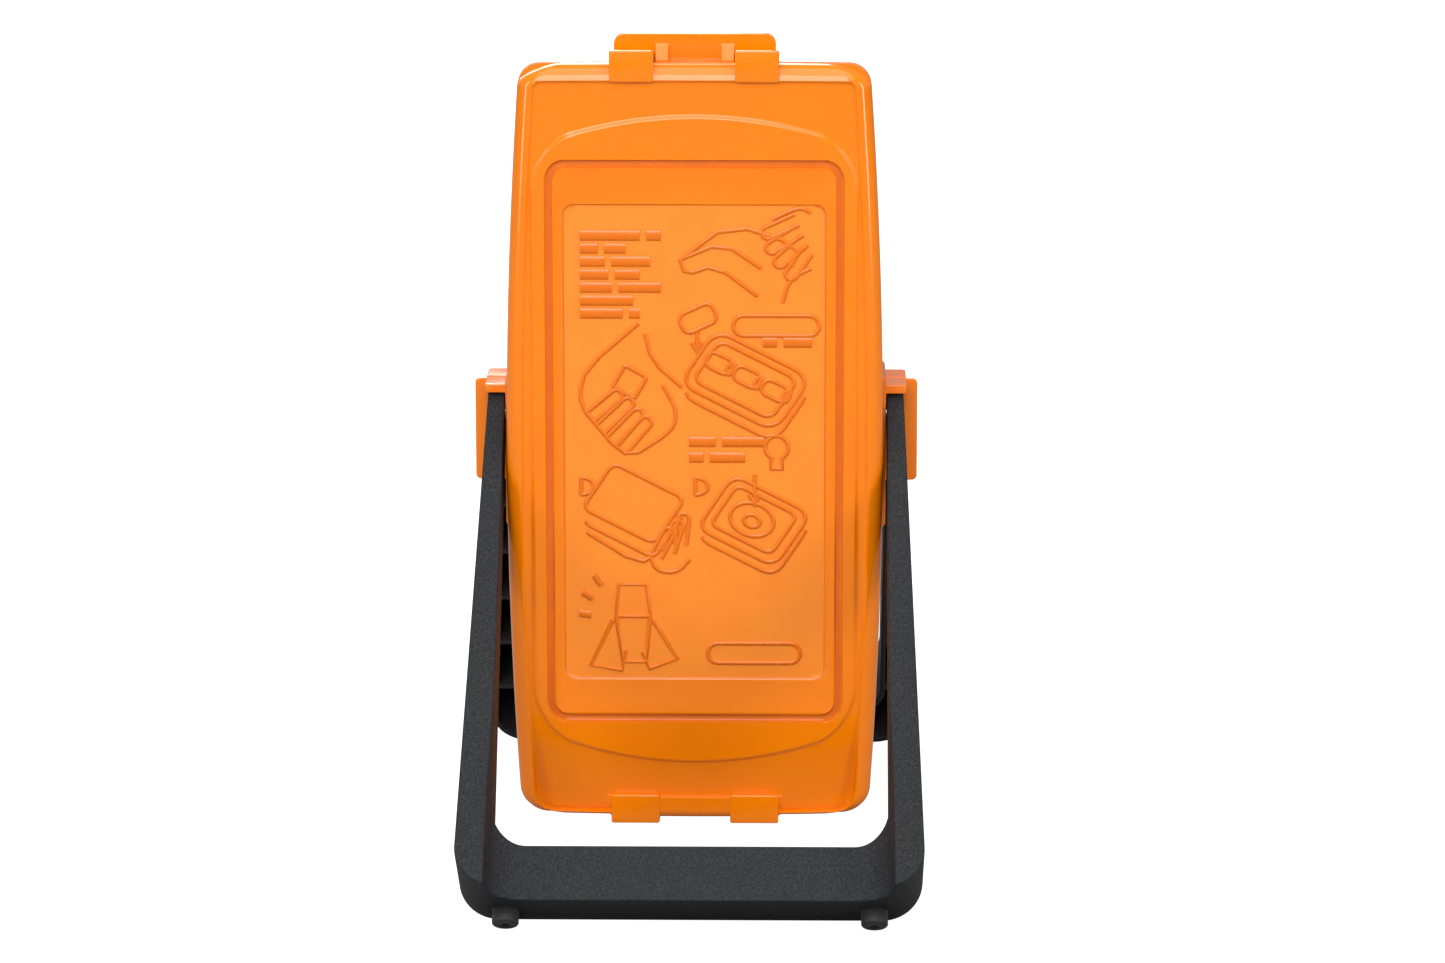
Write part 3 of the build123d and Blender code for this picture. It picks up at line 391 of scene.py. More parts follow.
def clear(name, base, roughness, ior):
    """Clear moulded or blown material that light passes through."""
    material, tree, shader = finish(name, {"Base Color": rgba(base), "Transmission Weight": 0.92, "IOR": ior,
                                           "Roughness": roughness})
    place = add(tree, "ShaderNodeTexCoord").outputs["Object"]
    plug(tree, shader, {"Normal": relief(tree, noise(tree, place, 14.0, 2.0), 0.1, 0.05)})
    return material


def printed_cell(finishes):
    """The lacquered sleeve of a cell: dark, with a gilt band at the top of every cell. A place's height above the
    lowest cell, less whole cells, says which colour it has."""
    gilt, gilt_from = linear("#C9A24A"), 0.046
    material, tree, shader = finish("lacquered_cell_sleeve", {"Roughness": 0.3, "Metallic": 0.35})
    place = add(tree, "ShaderNodeTexCoord").outputs["Object"]
    low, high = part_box("battery_cell_1")
    height = add(tree, "ShaderNodeSeparateXYZ", links={"Vector": place})
    along = add(tree, "ShaderNodeMath", {"operation": "SUBTRACT", 1: low[2]}, {0: height.outputs["Z"]})
    turn = add(tree, "ShaderNodeMath", {"operation": "MODULO", 1: (high[2] - low[2]) * 1.0003}, {0: along.outputs[0]})
    band = add(tree, "ShaderNodeMath", {"operation": "GREATER_THAN", 1: gilt_from}, {0: turn.outputs[0]})
    scuff = add(tree, "ShaderNodeTexNoise", {"Scale": per(4.0), "Detail": 6.0}, {"Vector": place})
    worn = add(tree, "ShaderNodeMixRGB", {"blend_type": "MULTIPLY", "Fac": 0.25},
               {"Color1": blend_colours(tree, finishes.jacket, gilt, band.outputs[0]),
                "Color2": scuff.outputs["Color"]})
    plug(tree, shader, {"Base Color": worn.outputs["Color"]})
    return material


MATERIALS = {}


def material_of(name):
    """The scene's finish of that name, made when it is first asked for."""
    if name not in MATERIALS:
        f = bpy.context.scene.lamp_finishes
        makers = {
            # Glossy injection-moulded ABS: deep colour under a hard, even shine.
            "orange": lambda: moulded("gloss_orange_ABS", f.orange, f.orange_deep, 0.12, 6.0),
            # The raised lines keep the mould's polish; their darker orange is painted shade, standing for the shading
            # along their flanks.
            "line": lambda: moulded("shaded_raised_orange_ABS", f.orange_deep, linear("#D66505"), 0.26, 5.0),
            # The same ABS where the mould was left brushed: fine level lines and a softer shine.
            "panel": lambda: moulded("brushed_orange_ABS", f.panel, f.panel_pale, 0.42, 9.0, brushed=True,
                                     colour_size=14.0, shine=0.6),
            # Painted shade: the steps and the floor of the groove take a duller, darker orange that stands for the
            # shade that falls in them.
            "step": lambda: moulded("painted_shade_orange_ABS", f.step, f.orange_deep, 0.4, 3.0, colour_size=6.0),
            "grey": lambda: textured_grey(f),
            "foot": lambda: rubber("moulded_rubber", f.rubber),
            "foam": lambda: moulded("closed_cell_foam", linear("#3A3A3C"), linear("#48484B"), 0.85, 2.0, grain=0.8),
            # Clear amber polycarbonate, which glows where light comes through its prisms.
            "amber": lambda: clear("amber_polycarbonate", f.amber, 0.06, 1.58),
            "glass": lambda: clear("blown_lamp_glass", (1.0, 1.0, 1.0), 0.02, 1.47),
            "chrome": lambda: metal("vacuum_metallised_ABS", linear("#E9EAEC"), 0.07, (1, 1, 1), 3.0),
            "steel": lambda: metal("ground_steel", linear("#B9BABD"), 0.28, (0.1, 1, 1), 0.4),
            "brass": lambda: metal("rolled_brass", linear("#D9B267"), 0.26, (1, 1, 0.15), 0.6),
            "black": lambda: moulded("black_moulded_ABS", linear("#1B1B1D"), linear("#232326"), 0.4, 3.0, grain=0.6),
            "tray": lambda: moulded("natural_ABS", f.tray, linear("#CBC8BB"), 0.4, 5.0),
            "board": lambda: moulded("green_solder_mask", f.board, linear("#174A2A"), 0.3, 2.0),
            "sleeve": lambda: moulded("shrunk_PVC_sleeve", linear("#1C2F6B"), linear("#22387C"), 0.3, 2.0),
            "red": lambda: moulded("red_PVC_insulation", linear("#A81414"), linear("#8F1010"), 0.45, 2.0),
            "cell": lambda: printed_cell(f),
        }
        MATERIALS[name] = makers[name]()
    return MATERIALS[name]


def paint(finish_name, *nodes):
    """Puts a finish in the material slot of each CAD node."""
    for node in nodes:
        slots = NODES[node].data.materials
        slots.clear()
        slots.append(material_of(finish_name))


# ---------------------------------------------------------------- the battery cover
BACK = 28.4                    # pivot line to the back plane
COVER_FRONT = 20.7             # pivot line to the cover's front edge
COVER_FLOOR = 25.0             # pivot line to the floor of the hollow inside the cover
PLATEAU_HALF = 46.3            # half width of the arched plateau
PLATEAU_CORNER = 12.0
ARCH_HALF = 44.5               # the arches' heights are given over this half width
ARCH_TOP, ARCH_DROP = 89.5, 8.2
ARCH_BOTTOM, ARCH_LIFT = -99.1, 9.1
GROOVE_OUTLINE = (42.5, 82.15, 6.0)    # half width, half height and corner of the groove's outer edge
GROOVE_RISE = -4.95            # rise of its middle
GROOVE_WALL, GROOVE_WIDTH = 0.4, 2.4
PANEL_OUTLINE = (37.5, 69.45, 3.4)
PANEL_RISE = -5.05
PANEL_STEP = 0.45              # the crisp step down to the panel
BAND_HALF, BAND_TOP = 24.4, -109.0     # the raised band between the hooks
BAND_ROUND = 2.5


def in_groove(x, rise):
    """Distance inwards from the groove's outer edge, negative outside."""
    return -rounded(*GROOVE_OUTLINE, x, rise - GROOVE_RISE)


def off_panel(x, rise):
    """Distance outwards from the panel's edge, negative on the panel."""
    return rounded(*PANEL_OUTLINE, x, rise - PANEL_RISE)


def cover_half(sizes, rise):
    """Half width of the cover at a rise: an arc through the top, widest and bottom half widths, drawn as a parabola
    through the three, and a quarter circle taken off at each corner."""
    ends = np.array([sizes.top, sizes.widest, sizes.bottom])
    halves = np.array([sizes.half_top, sizes.half_width, sizes.half_bottom])
    curve = np.polyval(np.polyfit(ends, halves, 2), rise)
    for corner, gap in ((sizes.top_corner, sizes.top - rise), (sizes.bottom_corner, rise - sizes.bottom)):
        reach = np.clip(corner - gap, 0, corner)
        curve = curve - (corner - np.sqrt(corner ** 2 - reach ** 2))
    return curve


def cover_depth(sizes, x, rise, half, gap_top, gap_bottom):
    """Depth of the cover's face. It starts at the back plane and loses, in turn: the rim's quarter round, the sunk
    field outside the arched plateau, the groove's two eased walls, the slope from groove to panel, and the panel's
    crisp edge. The band between the hooks is added."""
    side = half - np.abs(x)
    corner = np.where(gap_top < gap_bottom, sizes.top_corner, sizes.bottom_corner)

    def from_edge(bottom_stretch):
        end = np.minimum(gap_top, gap_bottom * bottom_stretch)
        inside = np.where((side < corner) & (end < corner),
                          corner - np.hypot(corner - side, corner - end), np.minimum(side, end))
        return np.maximum(inside, 0)

    # Along the bottom the rounding is half as wide, and the rim a third.
    over = np.clip(sizes.rim_round - from_edge(2.0), 0, sizes.rim_round)
    inside = from_edge(3.2)
    depth = BACK - (sizes.rim_round - np.sqrt(sizes.rim_round ** 2 - over ** 2))
    # A faint bead runs along the rim's inner edge, except near the bottom.
    depth = depth + 0.08 * np.exp(-((inside - sizes.rim_width + 0.3) / 0.55) ** 2) * smooth(gap_bottom, 6, 16)
    # The plateau: straight sides, and ends that are parabolas. Dividing by the arch's slope turns the height under
    # it to a distance.
    arch_top = ARCH_TOP - ARCH_DROP * (x / ARCH_HALF) ** 2
    arch_bottom = ARCH_BOTTOM + ARCH_LIFT * (x / ARCH_HALF) ** 2
    slope = np.sqrt(1 + (0.37 * x / ARCH_HALF) ** 2)
    plateau_end = np.minimum(arch_top - rise, rise - arch_bottom) / slope
    plateau_side = PLATEAU_HALF - np.abs(x)
    plateau = np.where((plateau_side < PLATEAU_CORNER) & (plateau_end < PLATEAU_CORNER),
                       PLATEAU_CORNER - np.hypot(PLATEAU_CORNER - plateau_side, PLATEAU_CORNER - plateau_end),
                       np.minimum(plateau_side, plateau_end))
    sunk = smooth(inside, sizes.rim_width - 0.2, sizes.rim_width + 0.8) * (1 - smooth(plateau, -0.6, 0.6))
    depth = depth - sizes.field_depth * sunk
    # Below the lower arch the field leans down to the bottom edge.
    depth = depth - 0.12 * np.clip(-plateau, 0, 18) * smooth(-rise, 84, 100) * sunk
    groove, panel = in_groove(x, rise), off_panel(x, rise)
    depth = depth - sizes.groove_depth * (smooth(groove, 0.0, GROOVE_WALL)
                                          - smooth(groove, GROOVE_WIDTH - GROOVE_WALL, GROOVE_WIDTH))
    # The slope from the groove to the panel: its share of the way, eased out to the level of the panel's edge.
    past = groove - GROOVE_WIDTH
    share = np.clip(past / np.maximum(past + np.maximum(panel, 0), 0.01), 0, 1)
    depth = depth - (sizes.label_depth - PANEL_STEP) * np.where(past > 0, 1 - (1 - share) ** 2, 0)
    depth = depth - PANEL_STEP * smooth(-panel, 0.0, 0.4)
    band = smooth(BAND_HALF - np.abs(x), 0, 0.3) * smooth(BAND_TOP - rise, 0, 0.3)
    level = BACK + 0.3 - BAND_ROUND * (1 - np.sqrt(1 - np.clip(1 - gap_bottom / BAND_ROUND, 0, 1) ** 2))
    return np.where(band > 0, depth + (np.maximum(level, depth) - depth) * band, depth)


def cover_face(sizes):
    """The cover's outside as a grid. Rows follow the rise and columns run between the two sides, both closer
    together at the rim, arches, groove and panel edges. A row's end lies on the outline."""
    near = 1 - np.cos(np.linspace(0, math.pi / 2, 12))
    top = sizes.top - sizes.rim_round * near
    bottom = sizes.bottom + sizes.rim_round * near
    # Rows a quarter of a millimetre apart cross the two arches, and rows 3.5 mm apart the plain panel.
    rows = np.concatenate([bottom, np.arange(bottom[-1] + 0.4, -100.2, 0.4), np.arange(-100.0, -87.0, 0.25),
                           np.arange(-86.8, -71.0, 0.4), np.arange(-70.0, 61.0, 3.5), np.arange(62.0, 79.6, 0.4),
                           np.arange(79.8, 91.0, 0.25), np.arange(91.2, top[-1] - 0.2, 0.4), top[::-1]])
    fine = np.concatenate([np.arange(0, 35.0, 0.9), np.arange(36.0, 48.1, 0.22)])
    inner = np.concatenate([-fine[:0:-1], fine])
    half = cover_half(sizes, rows)
    limit = np.minimum(fine[-1], half - 1.5)
    share = 1 - np.cos(np.linspace(0, math.pi / 2, 20))[:-1]
    outer = half[:, None] - (half - limit)[:, None] * share
    middle = inner[None, :] * (limit / fine[-1])[:, None]
    x = np.hstack([-outer, middle, outer[:, ::-1]])
    rise = np.repeat(rows[:, None], x.shape[1], axis=1)
    depth = cover_depth(sizes, x, rise, half[:, None], sizes.top - rise, rise - sizes.bottom)
    bow = 1 - (x / 50.0) ** 2
    crown = 0.3 * bow * smooth(rise, sizes.top - 15, sizes.top) - 0.8 * bow * smooth(-rise, -sizes.bottom - 15,
                                                                                    -sizes.bottom)
    return np.stack([x, depth, rise + crown], axis=-1)


def cover_skins(sizes):
    """The face, a wall from its edge to the front, and the hollow inside: the edge again, moved in by the wall."""
    face = cover_face(sizes)
    edge = np.concatenate([face[0, :-1], face[:-1, -1], face[-1, :0:-1], face[:0:-1, 0]])
    along = np.roll(edge, -1, axis=0) - np.roll(edge, 1, axis=0)
    inward = np.stack([-along[:, 2], np.zeros(len(edge)), along[:, 0]], axis=-1)
    inward /= np.linalg.norm(inward, axis=1)[:, None]
    steps = [(0.0, None), (0.0, COVER_FRONT + 0.25), (0.25, COVER_FRONT), (sizes.wall - 0.2, COVER_FRONT),
             (sizes.wall, COVER_FRONT + 0.2), (sizes.wall, COVER_FLOOR - 0.6), (sizes.wall + 0.6, COVER_FLOOR)]
    rings = []
    for inset, depth in steps:
        ring = edge + inward * inset
        if depth is not None:
            ring[:, 1] = depth
        rings.append(ring)
    return [skin(face), skin(np.stack(rings), around=True, last=True)]


# ---------------------------------------------------------------- moulded drawings
def curve_through(points, closed=False, times=2):
    """Soft corners: each pass keeps the points a quarter and three quarters of the way along every run."""
    points = np.array(points, float)
    for _ in range(times):
        after = np.roll(points, -1, axis=0)
        pairs = np.stack([0.75 * points + 0.25 * after, 0.25 * points + 0.75 * after], axis=1)
        if closed:
            points = pairs.reshape(-1, 2)
        else:
            points = np.vstack([points[:1], pairs[:-1].reshape(-1, 2), points[-1:]])
    return points


def ridge(points, width, height, floor, closed=False):
    """A raised line: a half ellipse of that width and height, carried along a path on the panel."""
    points = np.array(points, float)
    after, before = np.roll(points, -1, axis=0), np.roll(points, 1, axis=0)
    if not closed:
        after[-1], before[0] = points[-1], points[0]
    along = after - before
    normal = np.stack([-along[:, 1], along[:, 0]], axis=-1) / np.linalg.norm(along, axis=1)[:, None]
    turn = np.linspace(0, math.pi, 7)
    out = np.concatenate([[width / 2], np.cos(turn) * width / 2, [-width / 2]])
    up = np.concatenate([[-0.15], np.sin(turn) * height, [-0.15]])
    flat = points[:, None, :] + normal[:, None, :] * out[None, :, None]
    lift = np.broadcast_to(floor + up, flat.shape[:2])
    # The panel is drawn as it is seen from behind, so its right is -X.
    grid = np.stack([-flat[..., 0], lift, flat[..., 1]], axis=-1)
    if closed:
        return skin(np.concatenate([grid, grid[:1]]), around=True)
    return skin(grid, around=True, first=True, last=True)


def oval(x, rise, half_x, half_rise, tilt=0.0, start=0.0, end=360.0, count=28):
    """Points of an ellipse, or of a part of it, turned by tilt degrees."""
    turn = np.radians(np.linspace(start, end, count, endpoint=end - start < 359.9))
    a, b, t = half_x * np.cos(turn), half_rise * np.sin(turn), math.radians(tilt)
    return np.stack([x + a * math.cos(t) - b * math.sin(t), rise + a * math.sin(t) + b * math.cos(t)], axis=-1)


def finger(x, rise, angle, length, width):
    """A fingertip: two sides and a round end, open at the knuckle."""
    turn = np.radians(np.linspace(90, -90, 9))
    tip = np.stack([length + np.cos(turn) * width / 2, np.sin(turn) * width / 2], axis=-1)
    shape = np.vstack([[[0, width / 2]], tip, [[0, -width / 2]]])
    t = math.radians(angle)
    return shape @ np.array([[math.cos(t), math.sin(t)], [-math.sin(t), math.cos(t)]]) + (x, rise)


SLANT = np.array([[0.82, -0.42], [0.52, 0.78]])   # a plate seen from above at a slant


def plate(x, rise, half_wide, half_high, corner, turn, count=5):
    """A rounded rectangle turned or sheared by a 2 by 2 matrix about its middle."""
    return rounded_ring(half_wide, half_high, corner, 0, count) @ np.array(turn) + (x, rise)


def tilted_box(x, rise, wide, high, corner, depth):
    """A lid or box seen from above at a slant: a rounded, sheared rectangle, and its lower edge further down."""
    top = plate(x, rise, wide / 2, high / 2, corner, SLANT)
    along = np.roll(top, -1, axis=0) - np.roll(top, 1, axis=0)
    faces_down = along[:, 0] > 0.02 * np.abs(along[:, 1])
    start = int(np.argmax(faces_down & ~np.roll(faces_down, 1)))
    return top, np.roll(top, -start, axis=0)[:int(faces_down.sum())] - (0, depth)


def drawings():
    """The moulded drawings as (points, closed, width factor): generic line sketches of opening the box, fitting a
    cell, pressing the button, lifting the lens, changing the bulb and standing the lamp up."""
    lines = []

    def stroke(points, closed=False, wide=1.0, soft=0):
        lines.append((curve_through(points, closed, soft) if soft else np.array(points, float), closed, wide))

    # Plain bars, in rows: (left end, rise, lengths).
    block = ((17, 4), (5, 6), (7, 11), (8, 7), (9, 12), (15,), (12, 3))
    row_pitch, bar_gap = 3.75, 1.9
    rows = [(-32.5, 55.4 - row_pitch * row, lengths) for row, lengths in enumerate(block)]
    rows += [(-1.5, -4.4, (7.5, 12)), (-1.5, -9.0, (4, 10)), (19.5, 24.6, (4, 8))]
    for x, rise, lengths in rows:
        for length in lengths:
            stroke([(x, rise), (x + length, rise)], wide=2.5)
            x += length + bar_gap
    # Blank capsules.
    for x, rise, half in ((23.3, 29.4, 12.2), (17.0, -66.8, 13.2)):
        stroke(rounded_ring(half, 2.9, 2.8, 0, 6) + (x, rise), closed=True)
    # A hand lifts the lid of the box.
    stroke([(-4, 48.5), (10, 59), (30, 52.5), (27.5, 46.5)], soft=1)
    stroke([(-4, 48.5), (-2.5, 44), (6, 47), (18, 38)], soft=1)
    stroke([(-4, 48.5), (8, 53.5), (19, 46)], soft=1)
    for x, rise, angle, length in ((29, 60, 205, 9), (30, 57, 212, 9.5), (31, 54, 222, 9), (32, 51, 236, 8)):
        stroke(finger(x, rise, angle, length, 3.4))
    stroke([(33, 62), (30.5, 63.5), (27, 62.5), (22, 60)], soft=2)
    stroke([(33, 46), (27, 43), (25, 36)], soft=2)
    # The tray with its cells, an arrow, and a loose cell above it.
    top, low = tilted_box(14.5, 13.5, 33, 20, 5, 3.2)
    stroke(top, closed=True)
    stroke(low)
    stroke(plate(14.5, 13.7, 13.6, 7.4, 3, SLANT), closed=True)
    for x, rise in ((7.0, 18.5), (15, 14.5), (23, 10.5)):
        stroke(plate(x, rise, 4.0, 2.3, 2.2, [[0.89, -0.45], [0.45, 0.89]]), closed=True)
        stroke(oval(x + 3.2, rise - 1.6, 0.9, 1.9, -27, 0, 360, 14), closed=True)
    stroke(plate(1.0, 31.5, 5.2, 3.0, 2.2, [[0.9, 0.42], [-0.42, 0.9]]), closed=True)
    stroke([(0.8, 27.5), (0.8, 22.5)])
    stroke([(-0.7, 24.4), (0.8, 21.4), (2.3, 24.4)])
    # A finger presses the button on the case.
    stroke([(-16, 30), (-31, 17), (-33, 9), (-31, 4)], soft=1)
    stroke([(-14, 27), (-12, 19), (-3.5, 11.5)], soft=1)
    stroke(plate(-18.5, 13, 3.6, 3.6, 0.8, [[0.86, -0.5], [0.5, 0.86]], 4), closed=True)
    stroke([(-31, 4), (-21, -8), (-16, -7.5)], soft=1)
    for x, rise, angle, length in ((-30, 2.5, 40, 10), (-27, -1, 44, 11), (-24, -4.5, 46, 11), (-20.5, -6.5, 50, 10)):
        stroke(finger(x, rise, angle, length, 3.4))
    stroke([(-16, -7.5), (-6, -1), (-5, 5), (-9, 12)], soft=2)
    # The bulb.
    stroke(oval(23.5, -6.0, 3.3, 3.4, 0, -62, 242, 22))
    stroke([(22.0, -9.0), (22.0, -12.4), (25.0, -12.4), (25.0, -9.0)])
    # Fingers lift the lens.
    top, low = tilted_box(-17.5, -22.5, 25, 17, 2.6, 4.2)
    stroke(top, closed=True)
    stroke(low)
    stroke([(-31, -31), (-16, -40.5), (-10.5, -37)], soft=1)
    for x, rise, angle, length in ((-11, -38, 62, 7.5), (-7.4, -36.8, 72, 8), (-4.0, -34.6, 84, 7.5)):
        stroke(finger(x, rise, angle, length, 3.3))
    stroke([(-12.8, -38), (-11, -42.5), (-5, -43), (-1.5, -39)], soft=2)
    # The lens is off, and a bulb goes into the reflector.
    top, low = tilted_box(17, -27.5, 27, 20, 4, 3.0)
    stroke(top, closed=True)
    stroke(low)
    stroke(plate(17, -27.2, 10.6, 7.4, 2.4, SLANT), closed=True)
    stroke(oval(16.4, -27.2, 6.4, 4.8, -18), closed=True)
    stroke(oval(16.4, -27.6, 2.4, 1.8, -18, 0, 360, 16), closed=True)
    stroke([(17.2, -14), (17.2, -22.5)])
    stroke([(15.7, -19.8), (17.2, -23.2), (18.7, -19.8)])
    for x in (-32.5, 0.2):
        stroke(oval(x, -17.5, 3.6, 2.5, 0, -90, 90, 12))
        stroke([(x, -15), (x, -20)])
    # The lamp stands on its bows and flashes.
    stroke([(-22, -46.5), (-13.8, -46.5), (-12.8, -56), (-22.6, -56)], closed=True)
    stroke([(-22.6, -56), (-20.5, -69.5), (-14.2, -69.5), (-12.8, -56)])
    stroke([(-23.6, -57), (-30, -70.5), (-21, -72), (-20, -66)])
    stroke([(-12, -57), (-5, -68.5), (-13, -71.5), (-15, -66.5)])
    ray = 3.4
    for x, rise, angle in ((-29.8, -55.5, 172), (-29.2, -50.5, 150), (-26.8, -46.6, 122)):
        t = math.radians(angle)
        stroke([(x, rise), (x + ray * math.cos(t), rise + ray * math.sin(t))], wide=1.8)
    return lines


PAPER = 0.27         # how much light the floor gives back
PAPER_GLOW = 0.96    # how bright it looks to the camera beside that
WHITE = 1.05         # how bright the surround looks to the camera
# The camera and what it looks at, from the middle of the pivot line, in metres.
EYE = Vector((-0.0295, 1.5317, 0.3218))
AIM = Vector((-0.0076, 0, -0.0222))
# Each light's name, place in metres, width, height, and which power it takes times what.
LIGHTS = (
    ("top_softbox", (0, 0.5, 1.3), 1.3, 1.3, "top_power", 1),
    ("fill_softbox", (0.3, 1.9, 1.2), 1.2, 1.2, "fill_power", 1),
    ("right_strip", (-1.2, 0.75, 0.45), 0.22, 1.1, "side_power", 1.5),
    ("left_strip", (1.2, 0.75, 0.45), 0.22, 1.1, "side_power", 1.1),
    ("front_softbox", (0.5, -1.6, 1.15), 1.2, 1.2, "side_power", 6),
)


class LAMP_OT_stage(bpy.types.Operator):
    """Sets up the floor, the surround, the lights and the camera"""
    bl_idname = "lamp.stage"
    bl_label = "Stage"

    def execute(self, context):
        settings = context.scene.lamp_stage
        half = settings.floor_size / 2
        mesh = bpy.data.meshes.new("floor")
        mesh.from_pydata([(-half, -half, 0), (half, -half, 0), (half, half, 0), (-half, half, 0)], [], [(0, 1, 2, 3)])
        # Pale matt paper, lit from below as on a light table: only the camera sees that light.
        material, tree, shader = finish("matt_white_paper", {"Base Color": rgba([PAPER] * 3), "Roughness": 0.95,
                                                             "Emission Color": rgba([1] * 3)})
        rays = add(tree, "ShaderNodeLightPath")
        glow = add(tree, "ShaderNodeMath", {"operation": "MULTIPLY", 1: PAPER_GLOW},
                   {0: rays.outputs["Is Camera Ray"]})
        plug(tree, shader, {"Emission Strength": glow.outputs[0]})
        mesh.materials.append(material)
        floor = bpy.data.objects.new("floor", mesh)
        context.scene.collection.objects.link(floor)
        world = bpy.data.worlds.new("white_surround")
        world.use_nodes = True
        background = world.node_tree.nodes["Background"]
        background.inputs["Color"].default_value = rgba([1] * 3)
        sight = add(world.node_tree, "ShaderNodeLightPath")
        strength = add(world.node_tree, "ShaderNodeMapRange", {"To Min": settings.sky, "To Max": WHITE},
                       {"Value": sight.outputs["Is Camera Ray"]})
        plug(world.node_tree, background, {"Strength": strength.outputs["Result"]})
        context.scene.world = world
        context.scene.view_settings.view_transform = "Standard"
        middle = Vector((0, 0, PIVOT.z))
        for name, place, width, height, source, times in LIGHTS:
            light = bpy.data.lights.new(name, "AREA")
            light.shape, light.size, light.size_y = "RECTANGLE", width, height
            light.energy = getattr(settings, source) * times
            lamp = bpy.data.objects.new(name, light)
            lamp.location = place
            lamp.rotation_euler = (middle - Vector(place)).to_track_quat("-Z", "Y").to_euler()
            context.scene.collection.objects.link(lamp)
        camera = bpy.data.cameras.new("camera")
        camera.lens, camera.sensor_width, camera.clip_start = settings.lens_length, 36.0, 0.05
        eye = bpy.data.objects.new("camera", camera)
        eye.location = middle + EYE
        eye.rotation_euler = (middle + AIM - eye.location).to_track_quat("-Z", "Y").to_euler()
        context.scene.collection.objects.link(eye)
        context.scene.camera = eye
        return {"FINISHED"}


class LAMP_OT_case(bpy.types.Operator):
    """Finishes the case and its side brackets"""
    bl_idname = "lamp.case"
    bl_label = "Case and brackets"

    def execute(self, context):
        paint("orange", "front_housing", "pivot_bracket_right", "pivot_bracket_left")
        soften(0.25, "front_housing")
        soften(0.3, "pivot_bracket_right", "pivot_bracket_left")
        paint("steel", "bracket_screws", "lens_hinge_pins", "rear_pivot_pin_right", "rear_pivot_pin_left",
              "front_pivot_pin_right", "front_pivot_pin_left")
        paint("foot", "cover_gasket", "lens_seal")
        return {"FINISHED"}


class LAMP_OT_cover(bpy.types.Operator):
    """Makes the battery cover, with its rim, arched plateau, groove and sunk panel"""
    bl_idname = "lamp.cover"
    bl_label = "Battery cover"

    def execute(self, context):
        sizes = context.scene.lamp_cover
        cover = piece("cover_shell", cover_skins(sizes), "rear_cover", material_of("orange"))
        for name in ("panel", "step"):
            cover.data.materials.append(material_of(name))
        # Only faces that look outwards take the panel's finish or the painted shade.
        count = len(cover.data.polygons)
        middles, normals = np.empty(count * 3), np.empty(count * 3)
        cover.data.polygons.foreach_get("center", middles)
        cover.data.polygons.foreach_get("normal", normals)
        middles, normals = middles.reshape(-1, 3) * 1000 - (0, 0, PIVOT_RISE), normals.reshape(-1, 3)
        outward = normals[:, 1] > 0.3
        panel = off_panel(middles[:, 0], middles[:, 2])
        groove = in_groove(middles[:, 0], middles[:, 2])
        # The groove and the step down to the panel take the painted shade, and the panel starts past that step.
        shaded_steps = ((groove > 0) & (groove < GROOVE_WIDTH)) | (np.abs(panel + 0.2) < 0.25)
        plain_slot, panel_slot, shade_slot = range(3)
        finishes = np.where(panel < -0.45, panel_slot, np.where(shaded_steps, shade_slot, plain_slot)) * outward
        cover.data.polygons.foreach_set("material_index", finishes.astype(np.int32))
        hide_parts("rear_cover")
        return {"FINISHED"}


class LAMP_OT_drawings(bpy.types.Operator):
    """Raises the moulded drawings, blank capsules and bars on the cover's panel"""
    bl_idname = "lamp.drawings"
    bl_label = "Moulded drawings"

    def execute(self, context):
        sizes = context.scene.lamp_cover
        floor = BACK - sizes.label_depth
        skins = [ridge(points, sizes.ridge_width * wide, sizes.ridge_height, floor, closed)
                 for points, closed, wide in drawings()]
        # The drawings take the darker orange, which is painted shade.
        piece("cover_drawings", skins, "rear_cover", material_of("line"), sharp=60)
        return {"FINISHED"}


TAB_X, HOOK_X = 17.75, 17.2        # middles of the snap tabs and of the hooks
HOOK_HALF = 7.0                    # half width of a hook
HOOK_BAR = np.array([15.0, -114.8])    # depth and rise of the bar that the hooks turn on
HOOK_OUTER, HOOK_INNER = 2.6, 1.42     # radii of a hook's curl


def curl(middle):
    """The half ring of a hook that goes under its bar, from HOOK_INNER to HOOK_OUTER."""
    turn = np.radians(np.linspace(180, 360, 25))
    arc = np.stack([np.cos(turn), np.sin(turn)], axis=-1)
    ring = HOOK_BAR + np.concatenate([HOOK_OUTER * arc, HOOK_INNER * arc[::-1]])
    grid = np.stack([np.column_stack([np.full(len(ring), middle + end), ring]) for end in (-HOOK_HALF, HOOK_HALF)])
    return skin(grid, around=True, first=True, last=True)


class LAMP_OT_catches(bpy.types.Operator):
    """Makes the two snap tabs over the top of the cover and the two hooks at its foot"""
    bl_idname = "lamp.catches"
    bl_label = "Tabs and hooks"

    def execute(self, context):
        for side, name in ((1, "right"), (-1, "left")):
            tab_x, hook_x = side * TAB_X, side * HOOK_X
            # Each plate: its middle, half width, half height, corner, two depths and edge rounding.
            tab = [slab((tab_x, 103.8), 6.25, 4.5, 0.6, BACK - 1.6, BACK + 0.5, 0.35),
                   slab((tab_x, 105.35), 6.25, 0.85, 0.3, 16.3, BACK - 0.4, 0.25)]
            hook = [slab((hook_x, -113.2), HOOK_HALF, 4.2, 0.6, 23.0, BACK + 0.5, 0.35),
                    slab((hook_x, -116.8), HOOK_HALF, 0.59, 0.25, HOOK_BAR[0], 23.6, 0.2),
                    curl(hook_x)]
            for kind, skins in (("snap_tab", tab), ("hinge_hook", hook)):
                piece(f"{kind}_{name}", skins, "rear_cover", material_of("orange"))
        return {"FINISHED"}


